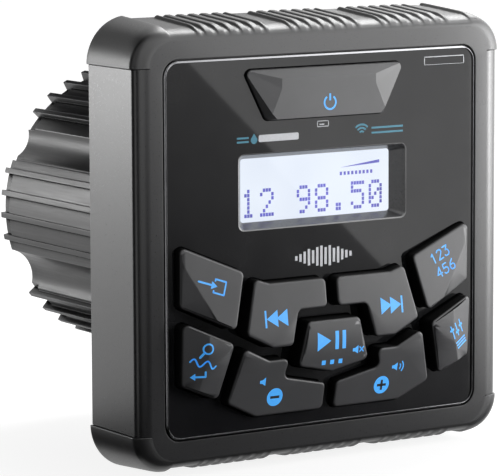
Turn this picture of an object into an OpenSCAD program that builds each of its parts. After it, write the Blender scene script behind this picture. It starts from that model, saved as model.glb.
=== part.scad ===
// Marine stereo: a square bezel with ten push keys in front of a round finned body.
// The body drops into a gauge hole in a dash and the bezel seals against the dash.
// The front faces -Y and +Z is up. The origin is on the body's axis, in the bezel's back face.

/* [Front panel] */
// Width of the front panel
panel_w = 96; // [94:0.5:104]
// Height of the front panel
panel_h = 96; // [94:0.5:104]
// Thickness of the front panel
panel_t = 2.2; // [1.6:0.1:2.8]
// Radius of the front panel's corners
panel_corner_r = 4; // [1:0.5:8]
// How far the panel sits below the flat front of the bezel
panel_sink = 0.2; // [0.1:0.05:0.6]
// Gap around the front panel
panel_gap = 0.35; // [0.1:0.05:0.8]
// Width of the ledge that carries the front panel
ledge_w = 1.8; // [1:0.1:2.4]

/* [Bezel] */
// Width of the flat band beside the panel
side_band = 3.75; // [2.5:0.25:8]
// Width of the flat band above and below the panel
top_band = 4.75; // [3:0.25:8]
// Depth of the bezel, front to back
bezel_d = 23.5; // [22:0.5:32]
// Width of the rolled front edges at the sides
roll_w = 4.1; // [2:0.1:5]
// Height of the rolled front edges above and below
roll_h = 3.4; // [2:0.1:4.5]
// Depth of the rolled front edges
roll_d = 2.4; // [1.5:0.1:4.5]
// Thickness of the back wall
back_wall = 5; // [4:0.25:6]

/* [Bumpers] */
// Height between the top and the bottom seam
seam_h = 92.6; // [86:0.2:98]
// Gap along the seams
seam_gap = 0.1; // [0.05:0.05:0.3]
// How far the bumpers stand out from the side walls
bumper_proud = 0.7; // [0.3:0.1:2]
// How much higher the bumpers are at the back than at the front
bumper_rise = 1.9; // [0.5:0.1:4]
// Distance from groove to groove
groove_pitch = 3.6; // [3.2:0.1:4]
// Width of a groove
groove_w = 1.4; // [0.8:0.1:2]
// Grooves in one group of ribs
grooves_in_group = 6; // [2:1:6]
// Width of the narrow rib at each end of a group
edge_rib_w = 1.1; // [0.6:0.1:1.6]
// Height of the ribs
rib_h = 1.2; // [0.6:0.1:1.6]
// Groups of ribs on a bumper
rib_groups = 3; // [1:1:3]
// Distance from group to group
group_pitch = 28.7; // [27:0.1:30]
// Smooth pad at each end of the ribbed zone
end_pad = 6.5; // [4:0.25:7]

/* [Display] */
// Width of the display recess at the front
display_w = 51.6; // [44:0.2:56]
// Height of the display recess at the front
display_h = 19.2; // [15:0.2:22]
// Height of the display's middle above the panel's middle
display_z = 13.6; // [12.5:0.1:16]
// Depth of the display recess
display_depth = 3.8; // [2.8:0.1:4.4]
// How far the recess draws in at each side
display_side_slope = 2.7; // [1:0.1:4]
// How far the recess draws in at the top and the bottom
display_top_slope = 1.4; // [0.5:0.1:3]
// Wall of the frame behind the recess
display_rim = 1.2; // [0.8:0.1:2]
// Thickness of the clear window
window_t = 0.8; // [0.5:0.1:1.2]
// Thickness of the liquid crystal glass
lcd_t = 1.6; // [1:0.1:2]

/* [Keys] */
// Gap between neighbouring keys
key_gap = 3.1; // [2.4:0.1:3.6]
// Gap between a key and its window
key_fit = 0.3; // [0.2:0.05:0.5]
// Radius of the keys' corners
key_corner_r = 1.5; // [0.6:0.1:2]
// How far the hidden flange of a key reaches past its outline
key_flange = 0.8; // [0.6:0.05:0.95]
// Thickness of that flange
key_flange_t = 1.2; // [0.8:0.1:1.6]
// Gap between the flange and the back of the panel
flange_gap = 0.3; // [0.2:0.05:0.5]
// Travel of a key
key_travel = 0.8; // [0.4:0.1:1.1]
// Radius of the plunger behind a key
plunger_r = 2.5; // [1.5:0.1:3.2]
// Height of the lower keys above the front at their top edge
crown_top_p = 1.6; // [1:0.1:2.5]
// Height of the lower keys above the front at their ridge
crown_peak_p = 5.5; // [4:0.1:6.5]
// Height of the lower keys above the front at their bottom edge
crown_low_p = 1.5; // [1:0.1:2.5]
// Radius of the ridge across the lower keys
crown_r = 28; // [10:1:40]
// Slope of the outer facet on the upper side keys, in degrees
upper_facet = 14.7; // [8:0.1:18]
// Slope of the outer facet on the lower side keys, in degrees
lower_facet = 19; // [8:0.5:22]
// Half width of the power key at its top edge
power_top_x = 24.8; // [20:0.2:28]
// Half width of the power key at its bottom edge
power_low_x = 18.1; // [17:0.1:20]
// Height of the power key
power_h = 13.05; // [12:0.05:15]
// Distance from the power key's top edge to the panel's edge
power_drop = 3.15; // [2:0.05:4]
// Height of the power key's edges above the front
power_edge_p = 1.2; // [0.6:0.1:1.8]
// Height of the power key's plateau above the front
power_top_p = 2.6; // [2:0.1:4]

/* [Key switches] */
// Distance from the flat front to the front circuit board
board_depth = 8.9; // [8.6:0.1:9.6]
// Thickness of the circuit boards
board_t = 1.6; // [1:0.1:2]
// Thickness of the silicone mat
mat_t = 1; // [0.6:0.1:1.4]
// Height of a dome of the mat above the board
dome_h = 2.3; // [2:0.05:2.5]
// Radius of a dome
dome_r = 4.8; // [4.7:0.1:5.2]
// Wall of a dome
dome_wall = 0.6; // [0.4:0.05:0.7]
// Space left under a pressed key
press_gap = 0.1; // [0.05:0.05:0.3]
// Side of a switch
switch_w = 5.2; // [4:0.1:5.3]
// Height of a switch with its button
switch_h = 1.6; // [1:0.05:1.6]

/* [Heat sink body] */
// Radius over the fins, which passes a gauge hole of 80 mm
body_r = 39.1; // [38.8:0.1:39.9]
// Length of the body behind the bezel
body_l = 79; // [76:0.2:100]
// Length of the plain neck behind the bezel
neck_l = 12.5; // [6:0.5:16]
// How much larger than the fins the plain neck is
neck_step = 0.5; // [0.45:0.05:0.8]
// Fins around the body
fin_count = 39; // [30:1:45]
// Width of a fin
fin_w = 1.5; // [1:0.1:2]
// Height of the fins above and below
fin_h = 1.6; // [0.8:0.1:1.8]
// Height of the fins at the sides
side_fin_h = 0.5; // [0.3:0.05:0.8]
// Half angle of each side, in degrees
side_angle = 21; // [18:0.5:24]
// Angle of the upper hollow channels from the horizontal, in degrees
channel_angle = 29.2; // [27:0.2:32]
// Radius of an upper channel
channel_r = 6.5; // [5:0.1:8]
// Depth of an upper channel below the fin tips
channel_depth = 3.8; // [2:0.1:4.8]
// Angle of the lower hollow channels from the horizontal, in degrees
low_channel_angle = 27.5; // [26:0.5:32]
// Radius of a lower channel
low_channel_r = 8.2; // [5:0.1:9]
// Depth of a lower channel below the fin tips
low_channel_depth = 4.8; // [2:0.1:5.2]
// Length of the stepped lip at the rear end
lip_l = 4; // [3:0.25:8]
// Depth of that step
lip_step = 0.9; // [0.4:0.05:1]
// Wall of the body, from the fin tips to the cavity
body_wall = 6.9; // [6.4:0.1:7.5]
// Width of the shoulder that meets the bezel's back face
shoulder_w = 1.6; // [1.2:0.1:2.4]
// Gap between the spigot and the back wall's hole
neck_fit = 0.3; // [0.1:0.05:0.5]

/* [Lock ring] */
// Space between the ring on the spigot and the walls of the housing
ring_gap = 1.2; // [0.8:0.1:3]
// Thickness of the lock ring
ring_t = 4; // [2.5:0.25:5]
// Spanner notches in the lock ring
ring_notches = 6; // [2:1:8]
// Width of a spanner notch
notch_w = 5; // [3:0.25:8]
// Depth of a spanner notch
notch_d = 2; // [1:0.1:2.5]

/* [Seals] */
// Space between the body and the dash gasket
gasket_gap = 2.9; // [1.5:0.1:4]
// Width of the dash gasket
gasket_w = 7; // [5:0.25:8]
// Thickness of the dash gasket
gasket_t = 1.5; // [0.8:0.1:2]
// Radius of the seal ring's section
seal_wire_r = 0.75; // [0.5:0.05:0.85]
// Space around gaskets, glands and other seated pieces
seat_gap = 0.05; // [0.02:0.01:0.1]

/* [Screws] */
// Distance of the panel screws from the panel's edges
boss_inset = 7; // [6:0.25:8]
// Radius of the panel screws' thread
panel_screw_r = 1.5; // [1.2:0.05:1.7]
// Radius of the panel screws' head
panel_head_r = 2.8; // [2.4:0.1:3.2]
// Height of the panel screws' head
panel_head_h = 2.2; // [1.5:0.1:2.6]
// Radius of the bosses for the panel screws
panel_boss_r = 3; // [2.5:0.1:3.4]
// Radius of the columns for the panel screws
column_r = 4; // [3.6:0.1:4.6]
// Radius of the small screws inside
small_screw_r = 1.25; // [1:0.05:1.5]
// Radius of the small screws' head
small_head_r = 2.2; // [2:0.1:2.4]
// Height of the small screws' head
small_head_h = 1.4; // [1:0.1:1.8]
// Length of thread in a plain screw hole
small_screw_grip = 5; // [3:0.25:6]

/* [Rear cover] */
// Rim of the body around the rear cover
cover_rim = 5.1; // [4.9:0.1:5.5]
// Thickness of the rear cover
cover_t = 4; // [3.5:0.25:5]
// Distance of the cover screws from the cover's edge
cover_screw_inset = 4.8; // [4.4:0.1:5]
// Radius of the bosses for the cover screws
cover_boss_r = 3.4; // [3.2:0.1:3.8]
// Length of those bosses
cover_boss_l = 12; // [8:0.5:16]
// Distance between the two mounting studs
stud_pitch = 44; // [40:0.5:48]
// Radius of a mounting stud
stud_r = 2.5; // [2:0.1:3]
// Length of a mounting stud behind the cover
stud_l = 14; // [10:0.5:20]
// How much thicker a stud is where it passes through the cover
stud_shank_step = 0.4; // [0.1:0.05:0.8]
// Radius of a stud's head inside the cover
stud_head_r = 4.5; // [3.6:0.1:5]
// Bore of the harness gland
harness_bore_r = 4.5; // [3:0.1:5.5]
// Distance of the harness gland's middle from the cavity's wall
harness_inset = 12.2; // [11:0.1:13]
// Bore of the antenna gland
antenna_bore_r = 2.5; // [1.5:0.1:3]
// Distance of the antenna gland's middle from the cavity's wall
antenna_inset = 14.2; // [13:0.1:15]
// Rubber around a gland's bore
gland_wall = 2.5; // [1.5:0.1:3]
// Width of a gland's lips
gland_lip = 2; // [1:0.1:2.4]
// Thickness of a gland's lips
gland_lip_t = 2; // [1:0.1:2.5]

/* [Main board] */
// Distance of the main board's edges from the cavity's widest place
main_inset = 5.2; // [4.7:0.1:5.7]
// Underside of the main board, below the axis
main_drop = 8.8; // [8:0.1:9.4]
// Front end of the main board, ahead of the bezel's back face
main_front = 10; // [9.4:0.1:10.6]
// Half width of the main board's front tongue
tongue_half_w = 18; // [15:0.5:19]
// Space between the main board and the body's rear end
main_end_gap = 10.6; // [9.6:0.2:12]
// Width of the two ledges that carry the main board
board_ledge = 3; // [2.5:0.1:4]
// Thickness of those ledges
board_ledge_t = 3; // [2:0.1:4]
// Half length of the board connector
connector_half_w = 20; // [19.5:0.5:24]
// Height of the board connector
connector_h = 6; // [5:0.1:8]
// Length of the board connector
connector_l = 6; // [5:0.1:6.5]
// Length of the amplifier chip
chip_l = 29; // [24:0.5:30]
// Height of the amplifier chip
chip_h = 15.7; // [12:0.1:17]
// Thickness of the amplifier chip
chip_t = 4.5; // [3:0.1:5]
// Gap under the amplifier chip, bridged by its pins
chip_lift = 1.5; // [1:0.1:2]
// Pins of the amplifier chip
chip_pins = 13; // [5:1:15]
// Height of the pad that cools the amplifier
pad_h = 4; // [3.6:0.1:4.2]
// Distance from the amplifier's middle to the main board's rear end
chip_end = 27; // [25:0.5:28]
// Thickness of the clamp bar
clamp_t = 2.5; // [1.5:0.1:3]
// Height of the clamp bar
clamp_h = 7; // [5.5:0.1:9]
// How far the clamp bar reaches past the chip at each end
clamp_end = 6.5; // [5:0.1:7]
// Radius of a filter capacitor
cap_r = 5; // [3:0.1:6]
// Height of a filter capacitor
cap_h = 18; // [10:0.5:20]
// Distance between the filter capacitors
cap_pitch = 14; // [12.5:0.5:15]
// Radius of the choke's middle line
choke_ring_r = 7; // [5:0.1:8]
// Radius of the choke's section
choke_wire_r = 3.5; // [2:0.1:4]
// Length of the tuner module
tuner_l = 24; // [16:0.5:26]
// Width of the tuner module
tuner_w = 18; // [12:0.5:19]
// Height of the tuner module
tuner_h = 6; // [3:0.1:8]

/* [Hidden] */
$fn = 64;
// Steps along a rounded corner and along the rolled edge
arc_steps = 6;
// Reach of a cut past the faces that it opens
past = 1;
// Reach of the large cutting blocks
far = 200;
// Thickness of the slices that the bumper form is drawn over
slice_t = 0.01;
// Half length and width of a screw's cross slot, as parts of the head's radius
slot_reach = 0.7;
slot_width = 0.33;

// Outer sizes of the bezel
core_w = panel_w + 2 * (panel_gap + side_band);
core_h = panel_h + 2 * (panel_gap + top_band);
wall_w = core_w + 2 * roll_w;
bumper_w = wall_w + 2 * bumper_proud;
front_half_h = core_h / 2 + roll_h;
back_half_h = front_half_h + bumper_rise;
seam_z = seam_h / 2;
core_r = core_h / 2 - seam_z;
inner_w = panel_w - 2 * ledge_w;
inner_h = panel_h - 2 * ledge_w;

// Depths from the flat front, front to back
panel_back = panel_sink + panel_t;
flange_front = panel_back + flange_gap;
flange_back = flange_front + key_flange_t;
display_back = panel_sink + display_depth;
window_back = display_back + window_t;
lcd_back = window_back + lcd_t;
dome_top = board_depth - dome_h;
plunger_end = dome_top - press_gap - key_travel;
board_back = board_depth + board_t;

// Board, window and mat sizes
board_edge_gap = 0.5;
board_w = inner_w - 2 * board_edge_gap;
board_h = inner_h - 2 * board_edge_gap;
mat_edge = 1;
window_w = display_w + 2 * display_rim;
window_h = display_h + 2 * display_rim;
mat_gap = 0.5;
boss_x = panel_w / 2 - boss_inset;
boss_z = panel_h / 2 - boss_inset;

// Groups of ribs and the grooves in one group, left to right
group_x = [for (g = [0 : rib_groups - 1]) (g - (rib_groups - 1) / 2) * group_pitch];
groove_x = [for (k = [0 : grooves_in_group - 1]) (k - (grooves_in_group - 1) / 2) * groove_pitch];
group_half = groove_x[grooves_in_group - 1] + groove_w / 2 + edge_rib_w;
rib_zone = group_x[rib_groups - 1] + group_half + end_pad;

// Places on the panel, drawn for one of this size and spread with the panel's own
drawn_w = 96;
drawn_h = 96;
function drawn_z(z) = z * panel_h / drawn_h;
function place(x, z) = [x * panel_w / drawn_w, drawn_z(z)];

// Corners where the cells of the lower keys meet, right half
hub = place(28.7, -23.1);
rim_x = 46.5;
rim_top = place(rim_x, 4.1);
rim_mid = place(rim_x, -15);
rim_low = place(rim_x, -35.1);
preset_top = place(24.2, -5.3);
audio_low = place(33.4, -40.5);
next_rise = place(18.5, -8);
next_top = place(24.4, -6.1);
play_top = place(9.3, -18.7);
play_low = place(12.9, -33);
play_tip = place(0, -35.8);
shelf_out = place(19.4, -27.7);
shelf_in = play_top + (play_low - play_top) * (shelf_out.y - play_top.y) / (play_low.y - play_top.y);
volume_low = place(22.7, -45.7);

preset_cell = [hub, rim_mid, rim_top, preset_top];
audio_cell = [audio_low, rim_low, rim_mid, hub];
next_cell = [[0, play_top.y], play_top, shelf_in, shelf_out, hub, next_top, next_rise, [0, next_rise.y]];
volume_cell = [[0, volume_low.y], volume_low, audio_low, hub, shelf_out, shelf_in, play_low, play_tip];
play_cell = [play_tip, play_low, play_top, flip(play_top), flip(play_low)];
power_z = panel_h / 2 - power_drop - power_h;
power_outline = [
    [power_low_x, power_z],
    [power_top_x, power_z + power_h],
    [-power_top_x, power_z + power_h],
    [-power_low_x, power_z]
];
power_cell = inset(power_outline, -key_gap / 2);

// Crown of the lower keys: height at three places up the panel
crown_top = [drawn_z(1.75), crown_top_p];
crown_peak = [drawn_z(-26.45), crown_peak_p];
crown_low = [drawn_z(-44.2), crown_low_p];
// Folds where the outer facets of the side keys start, each from top to bottom
upper_fold = [place(44.3, -2.8), place(35.5, -17.5)];
lower_fold = [place(38, -23.5), place(41, -36.1)];

// Plateau of the power key, inside its top bevel
plateau_x = 14.5;
plateau_wide_x = 17.4;
plateau_top_drop = 2.45;
plateau_bend_drop = 4.95;
plateau_low_rise = 1.7;

// Each key: name, cell, side of the panel, middle of its plunger, fold and facet slope
KEYS = [
    ["key_power", power_cell, 1, [0, power_z + power_h / 2], undef, 0],
    ["key_source", preset_cell, -1, place(36.5, -9), upper_fold, upper_facet],
    ["key_band", audio_cell, -1, place(39, -27.5), lower_fold, lower_facet],
    ["key_previous", next_cell, -1, place(19, -17.5), undef, 0],
    ["key_next", next_cell, 1, place(19, -17.5), undef, 0],
    ["key_play", play_cell, 1, place(0, -26.5), undef, 0],
    ["key_volume_down", volume_cell, -1, place(22, -36), undef, 0],
    ["key_volume_up", volume_cell, 1, place(22, -36), undef, 0],
    ["key_preset", preset_cell, 1, place(36.5, -9), upper_fold, upper_facet],
    ["key_audio", audio_cell, 1, place(39, -27.5), lower_fold, lower_facet]
];

// Radii of the body and of what it carries
cavity_r = body_r - body_wall;
spigot_r = body_r - shoulder_w;
ring_r = min(inner_w, inner_h) / 2 - ring_gap;
gasket_in_r = body_r + gasket_gap;
gasket_out_r = gasket_in_r + gasket_w;
cover_r = body_r - cover_rim;
cover_screw_pcr = cover_r - cover_screw_inset;
harness_drop = cavity_r - harness_inset;
antenna_rise = cavity_r - antenna_inset;
main_half_w = cavity_r - main_inset;
pad_x = cavity_r - pad_h;

// Places along the body
main_rear = body_l - main_end_gap;
chip_y = main_rear - chip_end;
cover_front = body_l - cover_t;
lip_front = body_l - lip_l;
ring_front = -back_wall - ring_t;
board_top = -main_drop + board_t;
ledge_front = 6;
ledge_rear = cover_front - cover_boss_l / 2;
main_screw_x = main_half_w - board_ledge / 2;
main_screw_end = 4;
main_screw_y = [12, main_rear - main_screw_end];
chip_bottom = board_top + chip_lift;
clamp_half_l = chip_l / 2 + clamp_end;
clamp_screw_inset = 3.2;
clamp_z = chip_bottom + chip_h / 2;
clamp_x = pad_x - seat_gap - chip_t - seat_gap;
cap_inset = 13;
cap_place = [cap_inset - main_half_w, 20];
choke_inset = 23;
choke_place = [main_half_w - choke_inset, 18];
tuner_end = 19;
tuner_place = [4, main_rear - tuner_end];
stud_head_t = 2;
seal_half = seal_wire_r + seat_gap;
seal_ring_r = spigot_r + neck_fit - seal_half;
seal_y = -back_wall / 2;
step_y = 2;

// Place of a depth below the flat front
function at(depth) = depth - bezel_d;
function unit(v) = v / norm(v);
function flip(p) = [-p.x, p.y];
function line_cross(p, u, q, v) = p + u * cross(q - p, v) / cross(u, v);

// An outline moved inwards by a distance, points in counter-clockwise order
function inset(points, distance) = [
    for (i = [0 : len(points) - 1])
        let (
            n = len(points),
            b = points[i],
            u = unit(b - points[(i + n - 1) % n]),
            v = unit(points[(i + 1) % n] - b)
        )
        line_cross(b + distance * [-u.y, u.x], u, b + distance * [-v.y, v.x], v)
];

// Points of a round corner at b, between a and c
function corner_arc(a, b, c, r) =
    let (
        u = unit(a - b),
        w = unit(c - b),
        half = acos(u * w) / 2,
        centre = b + unit(u + w) * r / sin(half),
        from = b + u * r / tan(half) - centre,
        to = b + w * r / tan(half) - centre,
        start = atan2(from.y, from.x),
        turn = sign(cross(from, to)) * (180 - 2 * half)
    )
    [for (k = [0 : arc_steps]) let (a = start + turn * k / arc_steps) centre + r * [cos(a), sin(a)]];

// An outline with all its corners rounded
function rounded(points, r) = [
    for (i = [0 : len(points) - 1])
        let (n = len(points))
        each corner_arc(points[(i + n - 1) % n], points[i], points[(i + 1) % n], r)
];

// Height of the crown at a height on the panel, on its two straight flanks
function crown_p(z) =
    let (end = z > crown_peak.x ? crown_top : crown_low)
    crown_peak.y + (end.y - crown_peak.y) * (z - crown_peak.x) / (end.x - crown_peak.x);
function crown_point(z) = [at(-crown_p(z)), z];
function on_crown(p) = [p.x, at(-crown_p(p.y)), p.y];

// A flat shape drawn in X and Z, pushed from y0 to y1
module along_y(y0, y1) {
    translate([0, y1, 0]) rotate([90, 0, 0]) linear_extrude(y1 - y0) children();
}

// A flat shape drawn in Y and Z, pushed from x0 to x1
module along_x(x0, x1) {
    translate([x0, 0, 0]) rotate([90, 0, 90]) linear_extrude(x1 - x0) children();
}

// A round bar along Y
module rod(r, y0, y1) {
    along_y(y0, y1) circle(r);
}

module round_rect(w, h, r) {
    square([w - 2 * r, h], center = true);
    square([w, h - 2 * r], center = true);
    for (x = [-1, 1])
        for (z = [-1, 1])
            translate([x * (w / 2 - r), z * (h / 2 - r)]) circle(r);
}

// The four places of the panel screws
module at_panel_screws() {
    for (x = [-boss_x, boss_x])
        for (z = [-boss_z, boss_z])
            translate([x, 0, z]) children();
}

// Four places on a circle round the body's axis
module around(r) {
    for (a = [45 : 90 : 315])
        translate([r * cos(a), 0, r * sin(a)]) children();
}

// Rolled edge: depth, and width and height lost, at an angle from the front
function roll_depth(a) = roll_d * (1 - cos(a));
function width_loss(a) = roll_w * (1 - sin(a));
function height_loss(a) = roll_h * (1 - sin(a));
roll_angles = [for (k = [0 : arc_steps]) 90 * k / arc_steps];

// Depth, half width and half height of the slices of the bumper form
slices = concat(
    [for (a = roll_angles) [roll_depth(a), bumper_w / 2 - width_loss(a), front_half_h - height_loss(a)]],
    [[bezel_d - slice_t, bumper_w / 2, back_half_h]]
);

// Outer form of the bumpers, whose corners run out at the seams
module bumper_form() {
    hull()
        for (s = slices)
            along_y(at(s[0]), at(s[0]) + slice_t)
                polygon(rounded([[-s[1], -s[2]], [s[1], -s[2]], [s[1], s[2]], [-s[1], s[2]]], s[2] - seam_z));
}

// Section above the floor of the grooves, in Y and Z
module groove_section() {
    polygon(concat(
        [for (a = roll_angles) [at(roll_depth(a)), front_half_h - rib_h - height_loss(a)]],
        [[past, back_half_h - rib_h + past * bumper_rise / bezel_d], [past, far], [at(-past), far]],
        [[at(-past), core_h / 2 - rib_h]]
    ));
}

module bumper() {
    color([0.16, 0.16, 0.17])
    difference() {
        bumper_form();
        translate([-far / 2, -far / 2, seam_z + seam_gap - far]) cube(far);
        along_y(at(-past), past) round_rect(core_w + 2 * seam_gap, core_h + 2 * seam_gap, core_r + seam_gap);
        for (g = group_x)
            for (x = groove_x)
                along_x(g + x - groove_w / 2, g + x + groove_w / 2) groove_section();
        for (i = [0 : rib_groups]) {
            from = i == 0 ? -rib_zone : group_x[i - 1] + group_half;
            to = i == rib_groups ? rib_zone : group_x[i] - group_half;
            along_x(from, to) groove_section();
        }
    }
}

module top_bumper() {
    bumper();
}

module bottom_bumper() {
    mirror([0, 0, 1]) bumper();
}

// Plan of the band between the bumpers, with its two rolled front edges
module wall_plan() {
    edge = [for (a = roll_angles) [wall_w / 2 - width_loss(a), at(roll_depth(a))]];
    polygon(concat(
        edge,
        [[wall_w / 2, 0], [-wall_w / 2, 0]],
        [for (k = [arc_steps : -1 : 0]) flip(edge[k])]
    ));
}

module bezel_housing() {
    color([0.2, 0.2, 0.21])
    difference() {
        union() {
            along_y(at(0), 0) round_rect(core_w, core_h, core_r);
            translate([0, 0, -seam_z]) linear_extrude(seam_h) wall_plan();
        }
        along_y(at(-past), at(panel_back))
            round_rect(panel_w + 2 * panel_gap, panel_h + 2 * panel_gap, panel_corner_r + panel_gap);
        difference() {
            along_y(at(0), -back_wall) round_rect(inner_w, inner_h, panel_corner_r);
            at_panel_screws() rod(column_r, at(board_back), 0);
        }
        rod(spigot_r + neck_fit, -back_wall - past, past);
        difference() {
            rod(gasket_out_r + seat_gap, -gasket_t, past);
            rod(gasket_in_r - seat_gap, -gasket_t - past, past);
        }
        at_panel_screws() {
            rod(panel_screw_r + seat_gap, at(board_back) - past, past);
            rod(panel_head_r + seat_gap, -panel_head_h - seat_gap, past);
        }
    }
}

// Sloping opening of the display recess
module display_funnel() {
    d0 = panel_sink - past;
    d1 = display_back + past;
    function half_w(d) = display_w / 2 - display_side_slope * (d - panel_sink) / display_depth;
    function half_h(d) = display_h / 2 - display_top_slope * (d - panel_sink) / display_depth;
    w0 = half_w(d0);
    w1 = half_w(d1);
    h0 = half_h(d0);
    h1 = half_h(d1);
    intersection() {
        translate([0, 0, -far / 2])
            linear_extrude(far)
                polygon([[-w0, at(d0)], [w0, at(d0)], [w1, at(d1)], [-w1, at(d1)]]);
        translate([0, 0, display_z])
            along_x(-far / 2, far / 2)
                polygon([[at(d0), -h0], [at(d0), h0], [at(d1), h1], [at(d1), -h1]]);
    }
}

// Outline of a key, let out by a distance
module key_outline(key, grow) {
    mirror([key[2] < 0 ? 1 : 0, 0])
        polygon(rounded(inset(key[1], key_gap / 2 - grow), key_corner_r + grow));
}

module front_panel() {
    color([0.07, 0.07, 0.08])
    difference() {
        union() {
            along_y(at(panel_sink), at(panel_back)) round_rect(panel_w, panel_h, panel_corner_r);
            along_y(at(panel_sink), at(display_back))
                translate([0, display_z])
                    square([window_w, window_h], center = true);
            at_panel_screws() rod(panel_boss_r, at(panel_sink), at(board_depth));
        }
        display_funnel();
        for (key = KEYS)
            along_y(at(-past), at(panel_back + past)) key_outline(key, key_fit);
        at_panel_screws() rod(panel_screw_r + seat_gap, at(panel_back), at(board_depth + past));
    }
}

module display_plate(from, to) {
    along_y(at(from), at(to))
        translate([0, display_z])
            square([window_w, window_h], center = true);
}

module display_window() {
    color([0.8, 0.85, 0.9, 0.4]) display_plate(display_back, window_back);
}

module lcd_panel() {
    color([0.85, 0.88, 0.98]) display_plate(window_back, lcd_back);
}

module backlight() {
    color([0.9, 0.9, 0.9]) display_plate(lcd_back, board_depth);
}

// Space in front of the facet that slopes away from a fold
module facet_cut(fold, slope) {
    start = on_crown(fold[0]);
    along = unit(on_crown(fold[1]) - start);
    level = unit([-along.z, 0, along.x]);
    out = unit(cross(along, level * cos(slope) + [0, sin(slope), 0]));
    side = cross(out, along);
    multmatrix([
        [side.x, out.x, along.x, start.x],
        [side.y, out.y, along.y, start.y],
        [side.z, out.z, along.z, start.z],
        [0, 0, 0, 1]
    ])
        translate([-far / 2, 0, -far / 2]) cube(far);
}

// Solid behind the crown that the lower keys share
module crown_block() {
    top = crown_point(rim_top.y + past);
    low = crown_point(volume_low.y - past);
    peak = [at(-crown_peak.y), crown_peak.x];
    back = [[at(flange_back), low.y], [at(flange_back), top.y]];
    along_x(-far / 2, far / 2)
        polygon(concat([top], corner_arc(top, peak, low, crown_r), [low], back));
}

// Part of the power key's top: its edge and a piece of its plateau
module power_facets(plateau) {
    hull() {
        along_y(at(-power_edge_p), at(flange_back)) polygon(rounded(power_outline, key_corner_r));
        along_y(at(-power_top_p), at(0)) polygon(plateau);
    }
}

module power_cap() {
    top = power_z + power_h - plateau_top_drop;
    bend = power_z + power_h - plateau_bend_drop;
    low = power_z + plateau_low_rise;
    power_facets([[-plateau_x, bend], [plateau_x, bend], [plateau_x, top], [-plateau_x, top]]);
    power_facets([
        [-plateau_x - key_corner_r, power_z], [plateau_x + key_corner_r, power_z], [plateau_wide_x, low],
        [plateau_x, bend], [-plateau_x, bend], [-plateau_wide_x, low]
    ]);
}

module lower_cap(key) {
    difference() {
        intersection() {
            along_y(at(-crown_peak_p), at(flange_back)) key_outline(key, 0);
            crown_block();
        }
        if (key[4] != undef)
            mirror([key[2] < 0 ? 1 : 0, 0, 0]) facet_cut(key[4], key[5]);
    }
}

module key_body(key) {
    color([0.3, 0.3, 0.31]) {
        if (key[0] == "key_power") power_cap();
        else lower_cap(key);
        along_y(at(flange_front), at(flange_back)) key_outline(key, key_flange);
        translate([key[2] * key[3].x, 0, key[3].y]) rod(plunger_r, at(flange_front), at(plunger_end));
    }
}

// The place behind each key's plunger
module at_keys() {
    for (key = KEYS)
        translate([key[2] * key[3].x, 0, key[3].y]) children();
}

module keypad_mat() {
    color([0.35, 0.35, 0.37])
    difference() {
        union() {
            along_y(at(board_depth - mat_t), at(board_depth))
                round_rect(board_w - 2 * mat_edge, board_h - 2 * mat_edge, panel_corner_r);
            at_keys() rod(dome_r, at(dome_top), at(board_depth));
        }
        at_keys() rod(dome_r - dome_wall, at(dome_top + dome_wall), at(board_depth + past));
        at_panel_screws() rod(panel_boss_r + mat_gap, at(dome_top), at(board_depth + past));
        along_y(at(dome_top), at(board_depth + past))
            translate([0, display_z])
                square([window_w + 2 * mat_gap, window_h + 2 * mat_gap], center = true);
    }
}

module key_switches() {
    button_r = switch_w / 3;
    button_h = switch_h / 3;
    color([0.75, 0.75, 0.77])
    at_keys() {
        along_y(at(board_depth - switch_h + button_h), at(board_depth)) square(switch_w, center = true);
        rod(button_r, at(board_depth - switch_h), at(board_depth));
    }
}

module front_board() {
    color([0.1, 0.35, 0.2])
    difference() {
        along_y(at(board_depth), at(board_back)) round_rect(board_w, board_h, panel_corner_r);
        at_panel_screws() rod(panel_screw_r + seat_gap, at(board_depth) - past, at(board_back) + past);
    }
}

module board_connector() {
    middle = -main_drop + board_t / 2;
    color([0.9, 0.88, 0.8])
    difference() {
        along_y(at(board_back), at(board_back) + connector_l)
            translate([0, middle])
                square([2 * connector_half_w, connector_h], center = true);
        along_y(-main_front - seat_gap, at(board_back) + connector_l + past)
            translate([0, middle])
                square([2 * (tongue_half_w + seat_gap), board_t + 2 * seat_gap], center = true);
    }
}

module panel_screws() {
    color([0.6, 0.6, 0.62])
    at_panel_screws()
        difference() {
            union() {
                rod(panel_head_r, -panel_head_h, -seat_gap);
                rod(panel_screw_r, at(panel_back) + seat_gap, -panel_head_h);
            }
            cross_recess(-seat_gap, panel_head_r, panel_head_h);
        }
}

// Cross slot in a screw head whose face is at y
module cross_recess(y, head_r, head_h) {
    reach = head_r * slot_reach;
    slot = head_r * slot_width;
    for (a = [0, 90])
        rotate([0, a, 0])
            translate([-reach, y - head_h / 2, -slot / 2])
                cube([2 * reach, head_h, slot]);
}

// Section of a hollow channel at an angle round the body
module hollow(angle, r, depth) {
    rotate(angle)
        translate([body_r - depth + r, 0])
            circle(r);
}

// Section of the finned part, with the floors between the fins let down by a step
module fin_section(step) {
    difference() {
        intersection() {
            circle(body_r);
            union() {
                circle(body_r - fin_h - step);
                for (x = [-1, 1])
                    intersection() {
                        circle(body_r - side_fin_h - step);
                        polygon([[0, 0], x * far * [cos(side_angle), -sin(side_angle)],
                            x * far * [cos(side_angle), sin(side_angle)]]);
                    }
                for (i = [0 : fin_count - 1])
                    rotate(90 + 360 * i / fin_count)
                        translate([cavity_r + past, -fin_w / 2])
                            square([body_r - cavity_r, fin_w]);
            }
        }
        for (a = [channel_angle, 180 - channel_angle])
            hollow(a, channel_r, channel_depth);
        for (a = [-low_channel_angle, 180 + low_channel_angle])
            hollow(a, low_channel_r, low_channel_depth);
    }
}

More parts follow.
